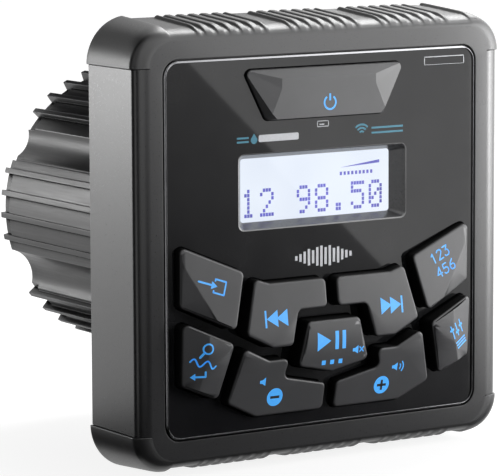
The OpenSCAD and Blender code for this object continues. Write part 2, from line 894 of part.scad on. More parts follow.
// Ledges, bosses and the cooling pad on the cavity's wall
module cavity_fittings() {
    for (x = [0, 1])
        mirror([x, 0, 0])
            along_y(ledge_front, ledge_rear)
                translate([main_half_w - board_ledge, -main_drop - board_ledge_t])
                    square([far, board_ledge_t]);
    around(cover_screw_pcr) rod(cover_boss_r, cover_front - cover_boss_l, cover_front);
    translate([pad_x, chip_y - clamp_half_l, clamp_z - clamp_h])
        cube([far, 2 * clamp_half_l, 2 * clamp_h]);
}

module heat_sink_body() {
    color([0.17, 0.17, 0.18])
    difference() {
        union() {
            rod(spigot_r, ring_front, 0);
            rod(body_r + neck_step, 0, neck_l);
            along_y(neck_l, lip_front) fin_section(0);
            along_y(lip_front, body_l) fin_section(lip_step);
        }
        difference() {
            rod(cavity_r, ring_front - past, body_l + past);
            intersection() {
                cavity_fittings();
                rod(body_r, 0, cover_front);
            }
        }
        rod(cover_r + seat_gap, cover_front, body_l + past);
        difference() {
            rod(spigot_r + past, seal_y - seal_half, seal_y + seal_half);
            rod(seal_ring_r - seal_half, -back_wall, 0);
        }
        around(cover_screw_pcr)
            rod(small_screw_r + seat_gap, cover_front - small_screw_grip - seat_gap, cover_front + past);
        at_main_screws()
            translate([0, 0, -main_drop - board_ledge_t - past])
                cylinder(r = small_screw_r + seat_gap, h = board_ledge_t + 2 * past);
        at_clamp_screws()
            along_x(pad_x - past, pad_x + small_screw_grip / 2 + seat_gap) circle(small_screw_r + seat_gap);
    }
}

module body_seal() {
    color([0.08, 0.08, 0.08])
    translate([0, seal_y, 0])
        rotate([90, 0, 0])
            rotate_extrude()
                translate([seal_ring_r, 0])
                    circle(seal_wire_r);
}

module lock_ring() {
    color([0.6, 0.6, 0.62])
    difference() {
        rod(ring_r, ring_front, -back_wall);
        rod(spigot_r + seat_gap, ring_front - past, 0);
        for (i = [0 : ring_notches - 1])
            rotate([0, 360 * i / ring_notches, 0])
                translate([ring_r - notch_d, ring_front - past, -notch_w / 2])
                    cube([notch_d + past, ring_t + past + past, notch_w]);
    }
}

module dash_gasket() {
    color([0.1, 0.1, 0.1])
    difference() {
        rod(gasket_out_r, -gasket_t, 0);
        rod(gasket_in_r, -gasket_t - past, past);
    }
}

module at_studs() {
    for (x = [-stud_pitch / 2, stud_pitch / 2])
        translate([x, 0, 0]) children();
}

module rear_cover() {
    color([0.13, 0.13, 0.14])
    difference() {
        rod(cover_r, cover_front, body_l);
        around(cover_screw_pcr) {
            rod(small_screw_r + seat_gap, cover_front - past, body_l + past);
            rod(small_head_r + seat_gap, body_l - small_head_h, body_l + past);
        }
        at_studs() rod(stud_r + stud_shank_step + seat_gap, cover_front - past, body_l + past);
        translate([0, 0, -harness_drop])
            rod(harness_bore_r + gland_wall + seat_gap, cover_front - past, body_l + past);
        translate([0, 0, antenna_rise])
            rod(antenna_bore_r + gland_wall + seat_gap, cover_front - past, body_l + past);
    }
}

module rear_screws() {
    color([0.6, 0.6, 0.62])
    around(cover_screw_pcr)
        difference() {
            union() {
                rod(small_head_r, body_l - small_head_h, body_l);
                rod(small_screw_r, cover_front - small_screw_grip, body_l);
            }
            cross_recess(body_l, small_head_r, small_head_h);
        }
}

module mounting_studs() {
    color([0.7, 0.7, 0.72])
    at_studs() {
        rod(stud_head_r, cover_front - stud_head_t, cover_front);
        rod(stud_r + stud_shank_step, cover_front - stud_head_t, body_l);
        rod(stud_r, cover_front, body_l + stud_l);
    }
}

// Rubber outlet that grips the rear cover between two lips
module gland(bore_r) {
    wall_r = bore_r + gland_wall;
    color([0.06, 0.06, 0.06])
    difference() {
        union() {
            rod(wall_r, cover_front - gland_lip_t, body_l + gland_lip_t);
            rod(wall_r + gland_lip, cover_front - gland_lip_t, cover_front);
            rod(wall_r + gland_lip, body_l, body_l + gland_lip_t);
        }
        rod(bore_r, cover_front - gland_lip_t - past, body_l + gland_lip_t + past);
    }
}

module harness_gland() {
    translate([0, 0, -harness_drop]) gland(harness_bore_r);
}

module antenna_gland() {
    translate([0, 0, antenna_rise]) gland(antenna_bore_r);
}

module at_main_screws() {
    for (x = [-main_screw_x, main_screw_x])
        for (y = main_screw_y)
            translate([x, y, 0]) children();
}

module main_board() {
    color([0.1, 0.35, 0.2])
    difference() {
        translate([0, 0, -main_drop])
            linear_extrude(board_t) {
                translate([-tongue_half_w, -main_front]) square([2 * tongue_half_w, main_front + main_rear]);
                translate([-main_half_w, step_y]) square([2 * main_half_w, main_rear - step_y]);
            }
        at_main_screws()
            translate([0, 0, -main_drop - past])
                cylinder(r = small_screw_r + seat_gap, h = board_t + 2 * past);
    }
}

module main_board_screws() {
    color([0.6, 0.6, 0.62])
    at_main_screws() {
        translate([0, 0, -main_drop - board_ledge_t]) cylinder(r = small_screw_r, h = board_ledge_t + board_t);
        translate([0, 0, board_top]) cylinder(r = main_half_w - main_screw_x - seat_gap, h = small_head_h);
    }
}

module amplifier_chip() {
    pin = 0.6;
    pin_pitch = (chip_l - 2 * pin) / (chip_pins - 1);
    color([0.09, 0.09, 0.1])
    translate([pad_x - seat_gap - chip_t, chip_y - chip_l / 2, 0]) {
        translate([0, 0, chip_bottom]) cube([chip_t, chip_l, chip_h]);
        for (i = [0 : chip_pins - 1])
            translate([chip_t / 2 - pin / 2, pin / 2 + i * pin_pitch, board_top]) cube([pin, pin, chip_lift]);
    }
}

// The two places of the clamp screws
module at_clamp_screws() {
    for (y = [-1, 1])
        translate([0, chip_y + y * (clamp_half_l - clamp_screw_inset), clamp_z]) children();
}

module amplifier_clamp() {
    color([0.65, 0.65, 0.66])
    difference() {
        translate([clamp_x - clamp_t, chip_y - clamp_half_l, clamp_z - clamp_h / 2])
            cube([clamp_t, 2 * clamp_half_l, clamp_h]);
        at_clamp_screws() along_x(clamp_x - clamp_t - past, clamp_x + past) circle(small_screw_r + seat_gap);
    }
}

module clamp_screws() {
    color([0.6, 0.6, 0.62])
    at_clamp_screws() {
        along_x(clamp_x - clamp_t - small_head_h, clamp_x - clamp_t) circle(small_head_r);
        along_x(clamp_x - clamp_t, pad_x + small_screw_grip / 2) circle(small_screw_r);
    }
}

module filter_capacitors() {
    crimp = cap_r / 10;
    color([0.15, 0.2, 0.4])
    for (i = [0 : 2])
        translate([cap_place.x, cap_place.y + i * cap_pitch, board_top])
            rotate_extrude()
                polygon([[0, 0], [cap_r, 0], [cap_r, 2 * crimp], [cap_r - crimp, 3 * crimp], [cap_r, 4 * crimp],
                    [cap_r, cap_h - crimp], [cap_r - crimp, cap_h], [0, cap_h]]);
}

module power_choke() {
    color([0.6, 0.35, 0.15])
    translate([choke_place.x, choke_place.y, board_top + choke_wire_r])
        rotate_extrude()
            translate([choke_ring_r, 0])
                circle(choke_wire_r);
}

module tuner_module() {
    lid = 0.6;
    color([0.75, 0.75, 0.77])
    translate([tuner_place.x - tuner_w / 2, tuner_place.y - tuner_l / 2, board_top]) {
        translate([lid, lid, 0]) cube([tuner_w - 2 * lid, tuner_l - 2 * lid, tuner_h - lid]);
        translate([0, 0, lid]) cube([tuner_w, tuner_l, tuner_h - lid]);
    }
}

bezel_housing();
top_bumper();
bottom_bumper();
front_panel();
display_window();
lcd_panel();
backlight();
for (key = KEYS) key_body(key);
keypad_mat();
key_switches();
front_board();
board_connector();
panel_screws();
heat_sink_body();
body_seal();
lock_ring();
dash_gasket();
rear_cover();
rear_screws();
mounting_studs();
harness_gland();
antenna_gland();
main_board();
main_board_screws();
amplifier_chip();
amplifier_clamp();
clamp_screws();
filter_capacitors();
power_choke();
tuner_module();
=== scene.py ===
"""Looks of a square stereo for a gauge hole: its pieces, materials, studio and camera.

Sizes are in millimetres, as in the part's source, and turn into metres when a mesh is made.
"""

import math

import bmesh
import bpy
from mathutils import Matrix, Vector


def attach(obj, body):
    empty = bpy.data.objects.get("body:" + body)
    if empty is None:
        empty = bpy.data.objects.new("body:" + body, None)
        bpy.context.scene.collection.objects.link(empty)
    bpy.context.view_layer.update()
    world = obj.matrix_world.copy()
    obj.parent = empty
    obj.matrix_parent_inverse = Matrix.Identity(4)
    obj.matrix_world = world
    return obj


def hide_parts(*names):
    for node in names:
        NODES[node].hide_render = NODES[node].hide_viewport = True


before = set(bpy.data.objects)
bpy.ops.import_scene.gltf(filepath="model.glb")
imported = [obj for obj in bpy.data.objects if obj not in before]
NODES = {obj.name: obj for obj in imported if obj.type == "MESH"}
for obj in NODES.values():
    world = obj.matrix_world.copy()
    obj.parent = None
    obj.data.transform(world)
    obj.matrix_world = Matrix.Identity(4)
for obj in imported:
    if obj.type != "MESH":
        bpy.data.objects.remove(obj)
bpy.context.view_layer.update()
MM = 0.001

# Sizes of the part

BEZEL_D, BACK_WALL = 23.5, 5.0
PANEL_W, PANEL_CORNER_R, PANEL_SINK, PANEL_BACK, PANEL_GAP = 96.0, 4.0, 0.2, 2.4, 0.35
INNER_W = 92.4
CORE_W, CORE_H, CORE_R = 104.2, 106.2, 6.8
ROLL_W, ROLL_H, ROLL_D = 4.1, 3.4, 2.4
WALL_W, BUMPER_W, FRONT_HALF_H, BACK_HALF_H = 112.4, 113.7, 56.5, 58.4
TOP_ROLL_D, RIB_END = 6.0, 21.2
SEAM_Z, SEAM_GAP = 46.3, 0.1
GROOVE_W, GROOVE_PITCH, EDGE_RIB_W, RIB_H = 1.4, 3.6, 1.1, 0.85
GROUP_X = [-27.0, 1.2, 29.4]
GROOVE_X = [(k - 2.5) * GROOVE_PITCH for k in range(6)]
GROUP_HALF = GROOVE_X[-1] + GROOVE_W / 2 + EDGE_RIB_W
RIB_FROM, RIB_TO = -46.0, 47.0
NECK_HOLE_R, GROOVE_IN_R, GROOVE_OUT_R, GASKET_T = 37.8, 41.95, 49.05, 1.5
SCREW_X, SCREW_SEAT_R, SCREW_SEAT_D = 41.0, 2.85, 2.25
DISPLAY_Z, DISPLAY_W, DISPLAY_H, DISPLAY_BACK = 13.6, 51.6, 19.2, 4.0
SIDE_SLOPE, TOP_SLOPE = 2.7, 1.4
WINDOW_BACK = 4.8
KEY_GAP, KEY_FIT, KEY_CORNER_R, KEY_BASE = 3.1, 0.3, 1.5, 1.9
KEY_SOFT = 0.7
STUD_X, STUD_R, STUD_END, BODY_L = 22.0, 2.5, 93.0, 79.0


def at(depth):
    """Y of a depth behind the flat front of the bezel."""
    return depth - BEZEL_D


# Outlines in X and Z

LEAST_MITRE, TINY, SAME_SLOPE = 0.4, 1e-6, 1e-3


def even(start, end, steps):
    """Values from start to end in even steps, with both ends."""
    return [start + (end - start) * k / steps for k in range(steps + 1)]


def polar(x, z, r, angles):
    """Points round (x, z) at angles in radians."""
    return [(x + r * math.cos(a), z + r * math.sin(a)) for a in angles]


def rounded(points, radius, steps=8):
    """A counter-clockwise outline with all its corners rounded."""
    out = []
    for i, point in enumerate(points):
        b = Vector(point)
        u = (Vector(points[i - 1]) - b).normalized()
        w = (Vector(points[(i + 1) % len(points)]) - b).normalized()
        half = u.angle(w) / 2
        centre = b + (u + w).normalized() * radius / math.sin(half)
        start = b + u * radius / math.tan(half) - centre
        first = math.atan2(start.y, start.x)
        turn = math.copysign(math.pi - 2 * half, u.y * w.x - u.x * w.y)
        out += polar(*centre, radius, even(first, first + turn, steps))
    return out


def grown(outline, amount):
    """A counter-clockwise outline moved outwards, or inwards by a negative amount."""
    points = [Vector(p) for p in outline]
    out = []
    for i, p in enumerate(points):
        e = (p - points[i - 1]).normalized()
        f = (points[(i + 1) % len(points)] - p).normalized()
        n = Vector((e.y + f.y, -e.x - f.x)).normalized()
        out.append(p + n * amount / max(LEAST_MITRE, n.dot(Vector((e.y, -e.x)))))
    return out


def rectangle(w, h, r, z=0.0, steps=8):
    """A rounded rectangle about (0, z)."""
    x, y = w / 2, h / 2
    return rounded([(-x, z - y), (x, z - y), (x, z + y), (-x, z + y)], r, steps)


def flip(points):
    """An outline mirrored left to right, still counter-clockwise."""
    return [(-x, z) for x, z in reversed(points)]


def both_sides(right):
    """An outline that runs up its right half and back down the mirrored left half."""
    return right + flip(right)


def circle(x, z, r, steps=96):
    return polar(x, z, r, even(0, 2 * math.pi, steps)[:-1])


# Meshes, with tolerances in metres and angles in degrees

SAME_POINT, ON_PLANE, CAD_SAME_POINT = 2e-7, 1e-8, 1e-6
FLAT_ANGLE, EDGE_ANGLE, EDGE_STEPS = 0.6, 35, 3


def added(name, data):
    """A new object in the scene."""
    obj = bpy.data.objects.new(name, data)
    bpy.context.scene.collection.objects.link(obj)
    return obj


def faces_of(made):
    return [f for f in made["geom"] if isinstance(f, bmesh.types.BMFace)]


class Shell:
    """A mesh being built, in millimetres."""

    def __init__(self):
        self.bm = bmesh.new()

    def ring(self, points):
        return [self.bm.verts.new(Vector(p) * MM) for p in points]

    def flat_ring(self, outline, depth):
        return self.ring([(p[0], at(depth), p[1]) for p in outline])

    def chain(self, rings, closed=True):
        """Faces between each ring and the next."""
        for a, b in zip(rings, rings[1:]):
            for i in range(len(a) if closed else len(a) - 1):
                j = (i + 1) % len(a)
                self.bm.faces.new((a[i], a[j], b[j], b[i]))

    def fill(self, *loops):
        """Faces between one outer loop and the loops of its holes."""
        edges = []
        for loop in loops:
            for i, v in enumerate(loop):
                pair = (loop[i - 1], v)
                edges.append(self.bm.edges.get(pair) or self.bm.edges.new(pair))
        return faces_of(bmesh.ops.triangle_fill(self.bm, use_beauty=True, edges=edges))

    def cut(self, faces, point, normal):
        """Splits faces along a plane, and returns what they have become."""
        edges = {e for f in faces for e in f.edges}
        verts = {v for f in faces for v in f.verts}
        made = bmesh.ops.bisect_plane(
            self.bm,
            geom=list(faces) + list(edges) + list(verts),
            plane_co=Vector(point) * MM,
            plane_no=Vector(normal),
            dist=ON_PLANE,
        )
        return faces_of(made)

    def piece(self, name, material, body="chassis", replaces=(), sharp=32, face_y=0):
        """Turns the shell into a smooth object that rides on a body."""
        bmesh.ops.remove_doubles(self.bm, verts=self.bm.verts, dist=SAME_POINT)
        bmesh.ops.recalc_face_normals(self.bm, faces=self.bm.faces)
        if face_y:
            lean = sum(f.normal.y * f.calc_area() for f in self.bm.faces)
            if lean * face_y < 0:
                bmesh.ops.reverse_faces(self.bm, faces=self.bm.faces)
        mesh = bpy.data.meshes.new(name)
        self.bm.to_mesh(mesh)
        self.bm.free()
        mesh.shade_smooth()
        mesh.set_sharp_from_angle(angle=math.radians(sharp))
        mesh.materials.append(material)
        obj = added(name, mesh)
        obj.modifiers.new("even_shading", "WEIGHTED_NORMAL").keep_sharp = True
        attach(obj, body)
        if replaces:
            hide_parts(*replaces)
        return obj


def dress(node, material, edge=0.0, plain=True):
    """Gives a CAD node its material, and softens its edges without touching its mesh."""
    obj = NODES[node]
    obj.data.materials.clear()
    obj.data.materials.append(material)
    obj.modifiers.new("weld", "WELD").merge_threshold = CAD_SAME_POINT
    if edge and plain:
        flat = obj.modifiers.new("flat_faces", "DECIMATE")
        flat.decimate_type = "DISSOLVE"
        flat.angle_limit = math.radians(FLAT_ANGLE)
    if edge:
        soft = obj.modifiers.new("soft_edges", "BEVEL")
        soft.width = edge * MM
        soft.segments = EDGE_STEPS
        soft.limit_method = "ANGLE"
        soft.angle_limit = math.radians(EDGE_ANGLE)
        soft.use_clamp_overlap = False
        soft.harden_normals = True
    obj.modifiers.new("even_shading", "WEIGHTED_NORMAL").keep_sharp = True


# Materials


class Wiring:
    """The nodes of a material or of the world, and the links between them."""

    def __init__(self, owner):
        owner.use_nodes = True
        self.nodes = owner.node_tree.nodes
        self.links = owner.node_tree.links

    def join(self, node, inputs):
        """Sets a node's inputs, each to a value, an output or a node's first output."""
        for key, value in inputs.items():
            socket = node.inputs[key if isinstance(key, int) else key.replace("_", " ")]
            if isinstance(value, bpy.types.Node):
                value = value.outputs[0]
            if isinstance(value, bpy.types.NodeSocket):
                self.links.new(value, socket)
            else:
                socket.default_value = value

    def node(self, kind, *values, operation=None, **named):
        """A new node, with inputs set in their order or by name."""
        made = self.nodes.new("ShaderNode" + kind)
        if operation:
            made.operation = operation
        self.join(made, {**dict(enumerate(values)), **named})
        return made

    def spread(self, source, low, high, start=0.3, end=0.7):
        """A value whose range from start to end is stretched to a range from low to high."""
        return self.node("MapRange", source, start, end, low, high).outputs["Result"]


def scaled(colour, share):
    return tuple(c * share for c in colour)


class Look(Wiring):
    """A node material around one Principled shader."""

    def __init__(self, name):
        self.material = bpy.data.materials.new(name)
        super().__init__(self.material)
        self.shader = self.nodes["Principled BSDF"]
        self.place = self.node("TexCoord").outputs["Object"]
        self.shape = self.node("NewGeometry").outputs

    def set(self, **values):
        """Sets the shader's inputs, and returns the material."""
        self.join(self.shader, values)
        return self.material

    def noise(self, size, detail, stretch=(1, 1, 1)):
        """Noise whose grain is about this size, in millimetres."""
        place = self.node("Mapping", self.place, Scale=stretch)
        return self.node("TexNoise", place, Scale=1 / (size * MM), Detail=detail).outputs["Fac"]

    def ramp(self, source, low, high, start=0.3, end=0.7):
        """A colour that goes from low to high as a value rises."""
        ramp = self.node("ValToRGB", source)
        for cell, place, colour in zip(ramp.color_ramp.elements, (start, end), (low, high)):
            cell.position = place
            cell.color = (*colour, 1)
        return ramp.outputs["Color"]

    def tones(self, source, colour, low, high, end=0.7):
        """A colour that drifts between two shares of itself."""
        return self.ramp(source, scaled(colour, low), scaled(colour, high), end=end)

    def around(self, source, middle, reach):
        """A value stretched to a range about a middle."""
        return self.spread(source, middle - reach, middle + reach)

    def mix(self, share, source, colour):
        """A colour source that turns into one plain colour as the share rises to 1."""
        mix = self.nodes.new("ShaderNodeMix")
        mix.data_type = "RGBA"
        self.join(mix, {"Factor": share, "A": source, "B": (*colour, 1)})
        return mix.outputs["Result"]

    def edges(self, start=0.51, end=0.58):
        """1 along worn convex edges, 0 elsewhere."""
        return self.spread(self.shape["Pointiness"], 0.0, 1.0, start, end)

    def bump(self, *layers):
        """Bumps stacked on each other: (source, strength, depth in millimetres)."""
        normal = {}
        for source, strength, depth in layers:
            bump = self.node("Bump", Strength=strength, Distance=depth * MM, Height=source, **normal)
            normal = {"Normal": bump}
        self.set(**normal)


def moulded(name, colour, rough, grain=0.35, depth=0.02, ior=1.5, spread=0.06):
    """Moulded plastic: spark-eroded grain, slow colour drift and edges rubbed a little lighter."""
    look = Look(name)
    fine = look.noise(grain, 4.0)
    drift = look.tones(look.noise(14.0, 2.0), colour, 0.88, 1.12)
    worn = look.mix(look.edges(), drift, scaled(colour, 1.5))
    look.bump((fine, 0.35, depth), (look.noise(3.0, 2.0), 0.1, depth))
    return look.set(Base_Color=worn, Roughness=look.around(fine, rough, spread), IOR=ior)


KEY_COLOUR, KEY_ROUGH = (0.048, 0.048, 0.051), 0.42


def key_plastic(name, wall_shade_facing):
    """Satin key caps: fine grain, edges rubbed a little, and walls painted dark as shade where the surface
    turns away from the front.
    """
    look = Look(name)
    fine = look.noise(0.22, 4.0)
    drift = look.tones(look.noise(9.0, 2.0), KEY_COLOUR, 0.93, 1.07)
    # Painted shade: as the normal turns from the front towards the sides, the walls get a much darker colour
    # and less specular
    facing = look.node("SeparateXYZ", look.shape["Normal"]).outputs["Y"]
    painted_wall_shade = look.spread(facing, 0.0, 1.0, *wall_shade_facing)
    tops = look.mix(look.edges(0.52, 0.62), drift, scaled(KEY_COLOUR, 1.25))
    look.bump((fine, 0.35, 0.015), (look.noise(3.0, 2.0), 0.1, 0.015))
    look.set(Specular_IOR_Level=look.spread(facing, 0.5, 0.15, *wall_shade_facing))
    colour = look.mix(painted_wall_shade, tops, scaled(KEY_COLOUR, 0.12))
    return look.set(Base_Color=colour, Roughness=look.around(fine, KEY_ROUGH, 0.05))


def gloss_black(name):
    """Polished black panel: faint haze, fine wipe marks and dust."""
    look = Look(name)
    haze = look.ramp(look.noise(9.0, 3.0), (0.0085, 0.0085, 0.0095), (0.0125, 0.0125, 0.0135), 0.35)
    wipes = look.noise(0.5, 3.0, (0.06, 1, 1))
    look.bump((look.noise(0.25, 2.0), 0.05, 0.004))
    return look.set(Base_Color=haze, Roughness=look.spread(wipes, 0.055, 0.075), IOR=1.45)


def rubber(name, colour):
    """Soft rubber: dull, with a powdery bloom."""
    look = Look(name)
    bloom = look.noise(1.2, 5.0)
    look.bump((look.noise(0.3, 3.0), 0.4, 0.02))
    tones = look.tones(bloom, colour, 0.8, 1.35, 0.75)
    return look.set(Base_Color=tones, Roughness=look.spread(bloom, 0.62, 0.8))


def cast_metal(name, colour, rough):
    """Machined metal with drawn lines and fine pits."""
    look = Look(name)
    drawn = look.noise(0.5, 4.0, (1, 0.04, 1))
    base = look.tones(look.noise(8.0, 3.0), colour, 0.85, 1.15)
    worn = look.mix(look.edges(0.505, 0.56), base, scaled(colour, 2.2))
    look.bump((drawn, 0.2, 0.015), (look.noise(0.2, 3.0), 0.25, 0.01))
    return look.set(Base_Color=worn, Roughness=look.around(drawn, rough, 0.08), Metallic=1.0)


def polished(name, colour, rough):
    """Bright trim: even polish with slow changes of tone and gloss."""
    look = Look(name)
    slow = look.noise(5.0, 2.0)
    tones = look.tones(slow, colour, 0.9, 1.05)
    look.bump((look.noise(0.3, 2.0), 0.03, 0.003))
    return look.set(Base_Color=tones, Roughness=look.around(slow, rough, 0.03), Metallic=1.0)


def coated(name, colour, rough):
    """Satin coat on cast metal: faint drawn lines, rubbed edges, and painted shade under the fins and at
    their roots.
    """
    look = Look(name)
    drawn = look.noise(0.5, 4.0, (1, 0.04, 1))
    base = look.tones(look.noise(8.0, 3.0), colour, 0.85, 1.15)
    rubbed = look.mix(look.edges(0.51, 0.56), base, scaled(colour, 7))
    # Painted shade: where an occlusion test that looks upward finds the surface covered, under the fins and
    # at their roots, the colour turns dark and the specular drops
    upward = look.node("VectorMath", look.shape["Normal"], (0, 0, 0.8))
    shade = look.node("AmbientOcclusion", Normal=upward, Distance=4 * MM)
    shade.samples = 8
    # Span of the occlusion over which the painted shade fades out
    painted_shade_span = (0.5, 0.84)
    painted_shade = look.spread(shade.outputs["AO"], 1.0, 0.0, *painted_shade_span)
    look.bump((drawn, 0.2, 0.015), (look.noise(0.25, 3.0), 0.3, 0.012))
    look.set(Specular_IOR_Level=look.spread(shade.outputs["AO"], 0.0, 0.4, *painted_shade_span))
    colour = look.mix(painted_shade, rubbed, scaled(colour, 0.2))
    return look.set(Base_Color=colour, Roughness=look.around(drawn, rough, 0.06))


def lit_glass(name, low, high, strength):
    """Backlit display with a slow drift of its glow, under a satin face."""
    look = Look(name)
    glow = look.ramp(look.noise(16.0, 1.0), low, high)
    satin = look.spread(look.noise(0.3, 2.0), 0.35, 0.5)
    look.set(Emission_Color=glow, Emission_Strength=strength)
    return look.set(Base_Color=(0.05, 0.05, 0.06, 1), Roughness=satin)


def clear_window(name):
    """Clear acrylic with a faint smear."""
    look = Look(name)
    smear = look.spread(look.noise(6.0, 3.0), 0.02, 0.07)
    return look.set(Base_Color=(0.97, 0.98, 1.0, 1), Roughness=smear, Transmission_Weight=1.0, IOR=1.3)


def printed(name, colour, glow=0.0):
    """Printed legend ink, a little uneven, with some light from behind."""
    look = Look(name)
    uneven = look.noise(0.4, 3.0)
    ink = look.tones(uneven, colour, 0.88, 1.0)
    if glow:
        look.set(Emission_Color=ink, Emission_Strength=glow)
    return look.set(Base_Color=ink, Roughness=look.spread(uneven, 0.45, 0.6))


BEZEL = moulded("bezel_plastic", (0.012, 0.012, 0.013), 0.3, ior=1.6, spread=0.03)
BUMPER = moulded("bumper_plastic", (0.014, 0.014, 0.015), 0.41, grain=0.3, ior=1.6, spread=0.05)
PANEL = gloss_black("panel_gloss")
EDGE = polished("edge_polish", (0.26, 0.26, 0.27), 0.24)
RECESS = moulded("recess_satin", (0.05, 0.05, 0.052), 0.3, grain=0.2, depth=0.008, ior=1.9)
# Each pair is the span of the normal's Y over which key walls are painted dark as shade; the power key's
# walls darken only where they stand near upright
KEY = key_plastic("key_plastic", (-0.88, -0.6))
POWER_KEY = key_plastic("power_key_plastic", (-0.4, -0.15))
BODY = coated("body_coating", (0.018, 0.018, 0.019), 0.36)
STEEL = cast_metal("stainless_steel", (0.3, 0.3, 0.31), 0.36)
COVER = moulded("cover_plastic", (0.03, 0.03, 0.032), 0.5, grain=0.5)
SEAL = rubber("seal_rubber", (0.02, 0.02, 0.021))
LCD = lit_glass("lcd_glow", (0.80, 0.86, 0.95), (0.86, 0.92, 1.0), 0.92)
WINDOW = clear_window("window_acrylic")
DOTS = printed("lcd_dots", (0.10, 0.10, 0.55))
BLUE = printed("legend_blue", (0.05, 0.36, 0.87), 0.35)
PALE = printed("legend_pale", (0.55, 0.56, 0.59))
TEAL = printed("legend_teal", (0.003, 0.17, 0.26), 0.05)
DARK = printed("legend_dark", (0.02, 0.02, 0.025))
BOARD = moulded("board_laminate", (0.02, 0.09, 0.04), 0.45)
PARTS = moulded("component_black", (0.02, 0.02, 0.02), 0.5)


# Bumpers

RIB_SOFT, RIB_FADE, RIB_RISE_D, RIB_RISE_POWER = 0.42, 0.6, 8.0, 0.4
CORNER_X, CORNER_STEPS, ROLL_STEPS, COLUMN_STEP = 48.2, 14, 14, 0.9
CORE_CLEAR, SEAM_ROUND, SLIVER = 0.02, 0.15, 0.01
WALL_DEPTHS = [2.9, 3.5, 4.2, 5.0, 6.0, 9.0, 14.0, 20.0]
RIB_END_DEPTHS = [RIB_END - 0.4, RIB_END - 0.1, RIB_END + 0.2, RIB_END + 0.6]

# Depth of the soft back edge, and how far it has come in there
BACK_EDGE = [(BEZEL_D - 0.5, 0), (BEZEL_D - 0.15, 0.13), (BEZEL_D, 0.5)]

# Low stretches in X: the grooves of each group, and the pads beside the groups
FLOORS = [(g + x - GROOVE_W / 2, g + x + GROOVE_W / 2) for g in GROUP_X for x in GROOVE_X]
PAD_STARTS = [RIB_FROM] + [g + GROUP_HALF for g in GROUP_X]
PAD_ENDS = [g - GROUP_HALF for g in GROUP_X] + [RIB_TO]
FLOORS += zip(PAD_STARTS, PAD_ENDS)


def eased(t):
    """A share from 0 to 1 that starts and ends gently."""
    t = min(1.0, max(0.0, t))
    return t * t * (3 - 2 * t)


def groove(x):
    """1 on the floor of a bumper's grooves and pads, 0 on its ribs and corners."""
    inside = max(min(x - a, b - x) for a, b in FLOORS)
    return eased((inside + RIB_SOFT) / (2 * RIB_SOFT))


def shallower(depth, room):
    """The smaller of two depths, with an easy change from one to the other."""
    if min(depth, room) < TINY:
        return 0.0
    return (depth ** -4 + room ** -4) ** -0.25


def bumper_columns():
    """Places across a bumper, dense at the sides of each rib."""
    sides = [side for floor in FLOORS for side in floor]
    xs = {round(side + k * RIB_SOFT / 2, 4) for side in sides for k in (-2, -1, 0, 1, 2)}
    xs |= {-CORNER_X, CORNER_X}
    for a, b in zip(sorted(xs), sorted(xs)[1:]):
        if b - a > COLUMN_STEP:
            xs |= {round(a + (b - a) * k / 4, 4) for k in (1, 2, 3)}
    return sorted(xs)


def roll(steps):
    """Depths along a rolled edge, from the front round to the wall."""
    return [ROLL_D * (1 - math.cos(a)) for a in even(0, math.pi / 2, steps)]


def still_to_go(depth, roll_depth):
    """Share of a rolled edge's reach that is left at a depth."""
    return 1 - math.sqrt(1 - max(0.0, 1 - depth / roll_depth) ** 2)


def bumper_rows():
    """Depth, half width, half height and rib height of the bumper's form, front to back."""
    depths = roll(ROLL_STEPS) + WALL_DEPTHS + RIB_END_DEPTHS
    rows = []
    for depth, cut in [(d, 0) for d in depths] + BACK_EDGE:
        rise = (BACK_HALF_H - FRONT_HALF_H) * max(0.0, depth - ROLL_D) / (BEZEL_D - ROLL_D)
        half_w = BUMPER_W / 2 - ROLL_W * still_to_go(depth, ROLL_D) - cut
        half_h = FRONT_HALF_H + rise - ROLL_H * still_to_go(depth, TOP_ROLL_D) - cut
        ribs = RIB_H * eased(depth / RIB_RISE_D) ** RIB_RISE_POWER
        rows.append((depth, half_w, half_h, ribs))
    return rows


def bumper_line(columns, depth, half_w, half_h, ribs):
    """Section of a bumper at a depth, from seam to seam: round corners, and ribs between them."""
    r = half_h - SEAM_Z
    x0 = half_w - r
    turn = math.acos((CORNER_X - x0) / r)
    end = math.asin(SEAM_GAP / r)
    side = polar(x0, SEAM_Z, r, even(turn, end, CORNER_STEPS)[1:])
    top = []
    for x in columns:
        over = max(0.0, abs(x) - x0)
        z = SEAM_Z + math.sqrt(r * r - over * over)
        low = groove(x)
        if RIB_FROM < x < RIB_TO:
            low = max(low, eased((depth - RIB_END) / RIB_FADE + 0.5))
        top.append((x, z - shallower(ribs * low, z - CORE_H / 2 - CORE_CLEAR)))
    return flip(side) + top + side


def bumper(name, up, node):
    """A cap over the top or the bottom edge: ribs in groups, plain corners that run out at the seams."""
    columns = bumper_columns()
    rows = bumper_rows()
    rows.append((BEZEL_D, CORE_W / 2, CORE_H / 2, 0))
    rows.append((0.0, CORE_W / 2, CORE_H / 2 - SLIVER, 0))
    shell = Shell()
    rings = []
    for depth, half_w, half_h, ribs in rows:
        line = bumper_line(columns, depth, half_w, half_h, ribs)
        rings.append(shell.ring([(x, at(depth), up * z) for x, z in line]))
    shell.chain(rings + rings[:1], closed=False)
    for end in (0, -1):
        shell.bm.faces.new([r[end] for r in rings])
    obj = shell.piece(name, BUMPER, replaces=[node], sharp=50)
    soft = obj.modifiers.new("soft_seam", "BEVEL")
    soft.width = SEAM_ROUND * MM
    soft.segments = 2
    soft.limit_method = "WEIGHT"
    weights = obj.data.attributes.new("bevel_weight_edge", "FLOAT", "EDGE")
    for edge in obj.data.edges:
        highest = max(abs(obj.data.vertices[v].co.z) for v in edge.vertices)
        weights.data[edge.index].value = float(highest < (SEAM_Z + SEAM_GAP + SLIVER) * MM)
    obj.modifiers.move(1, 0)


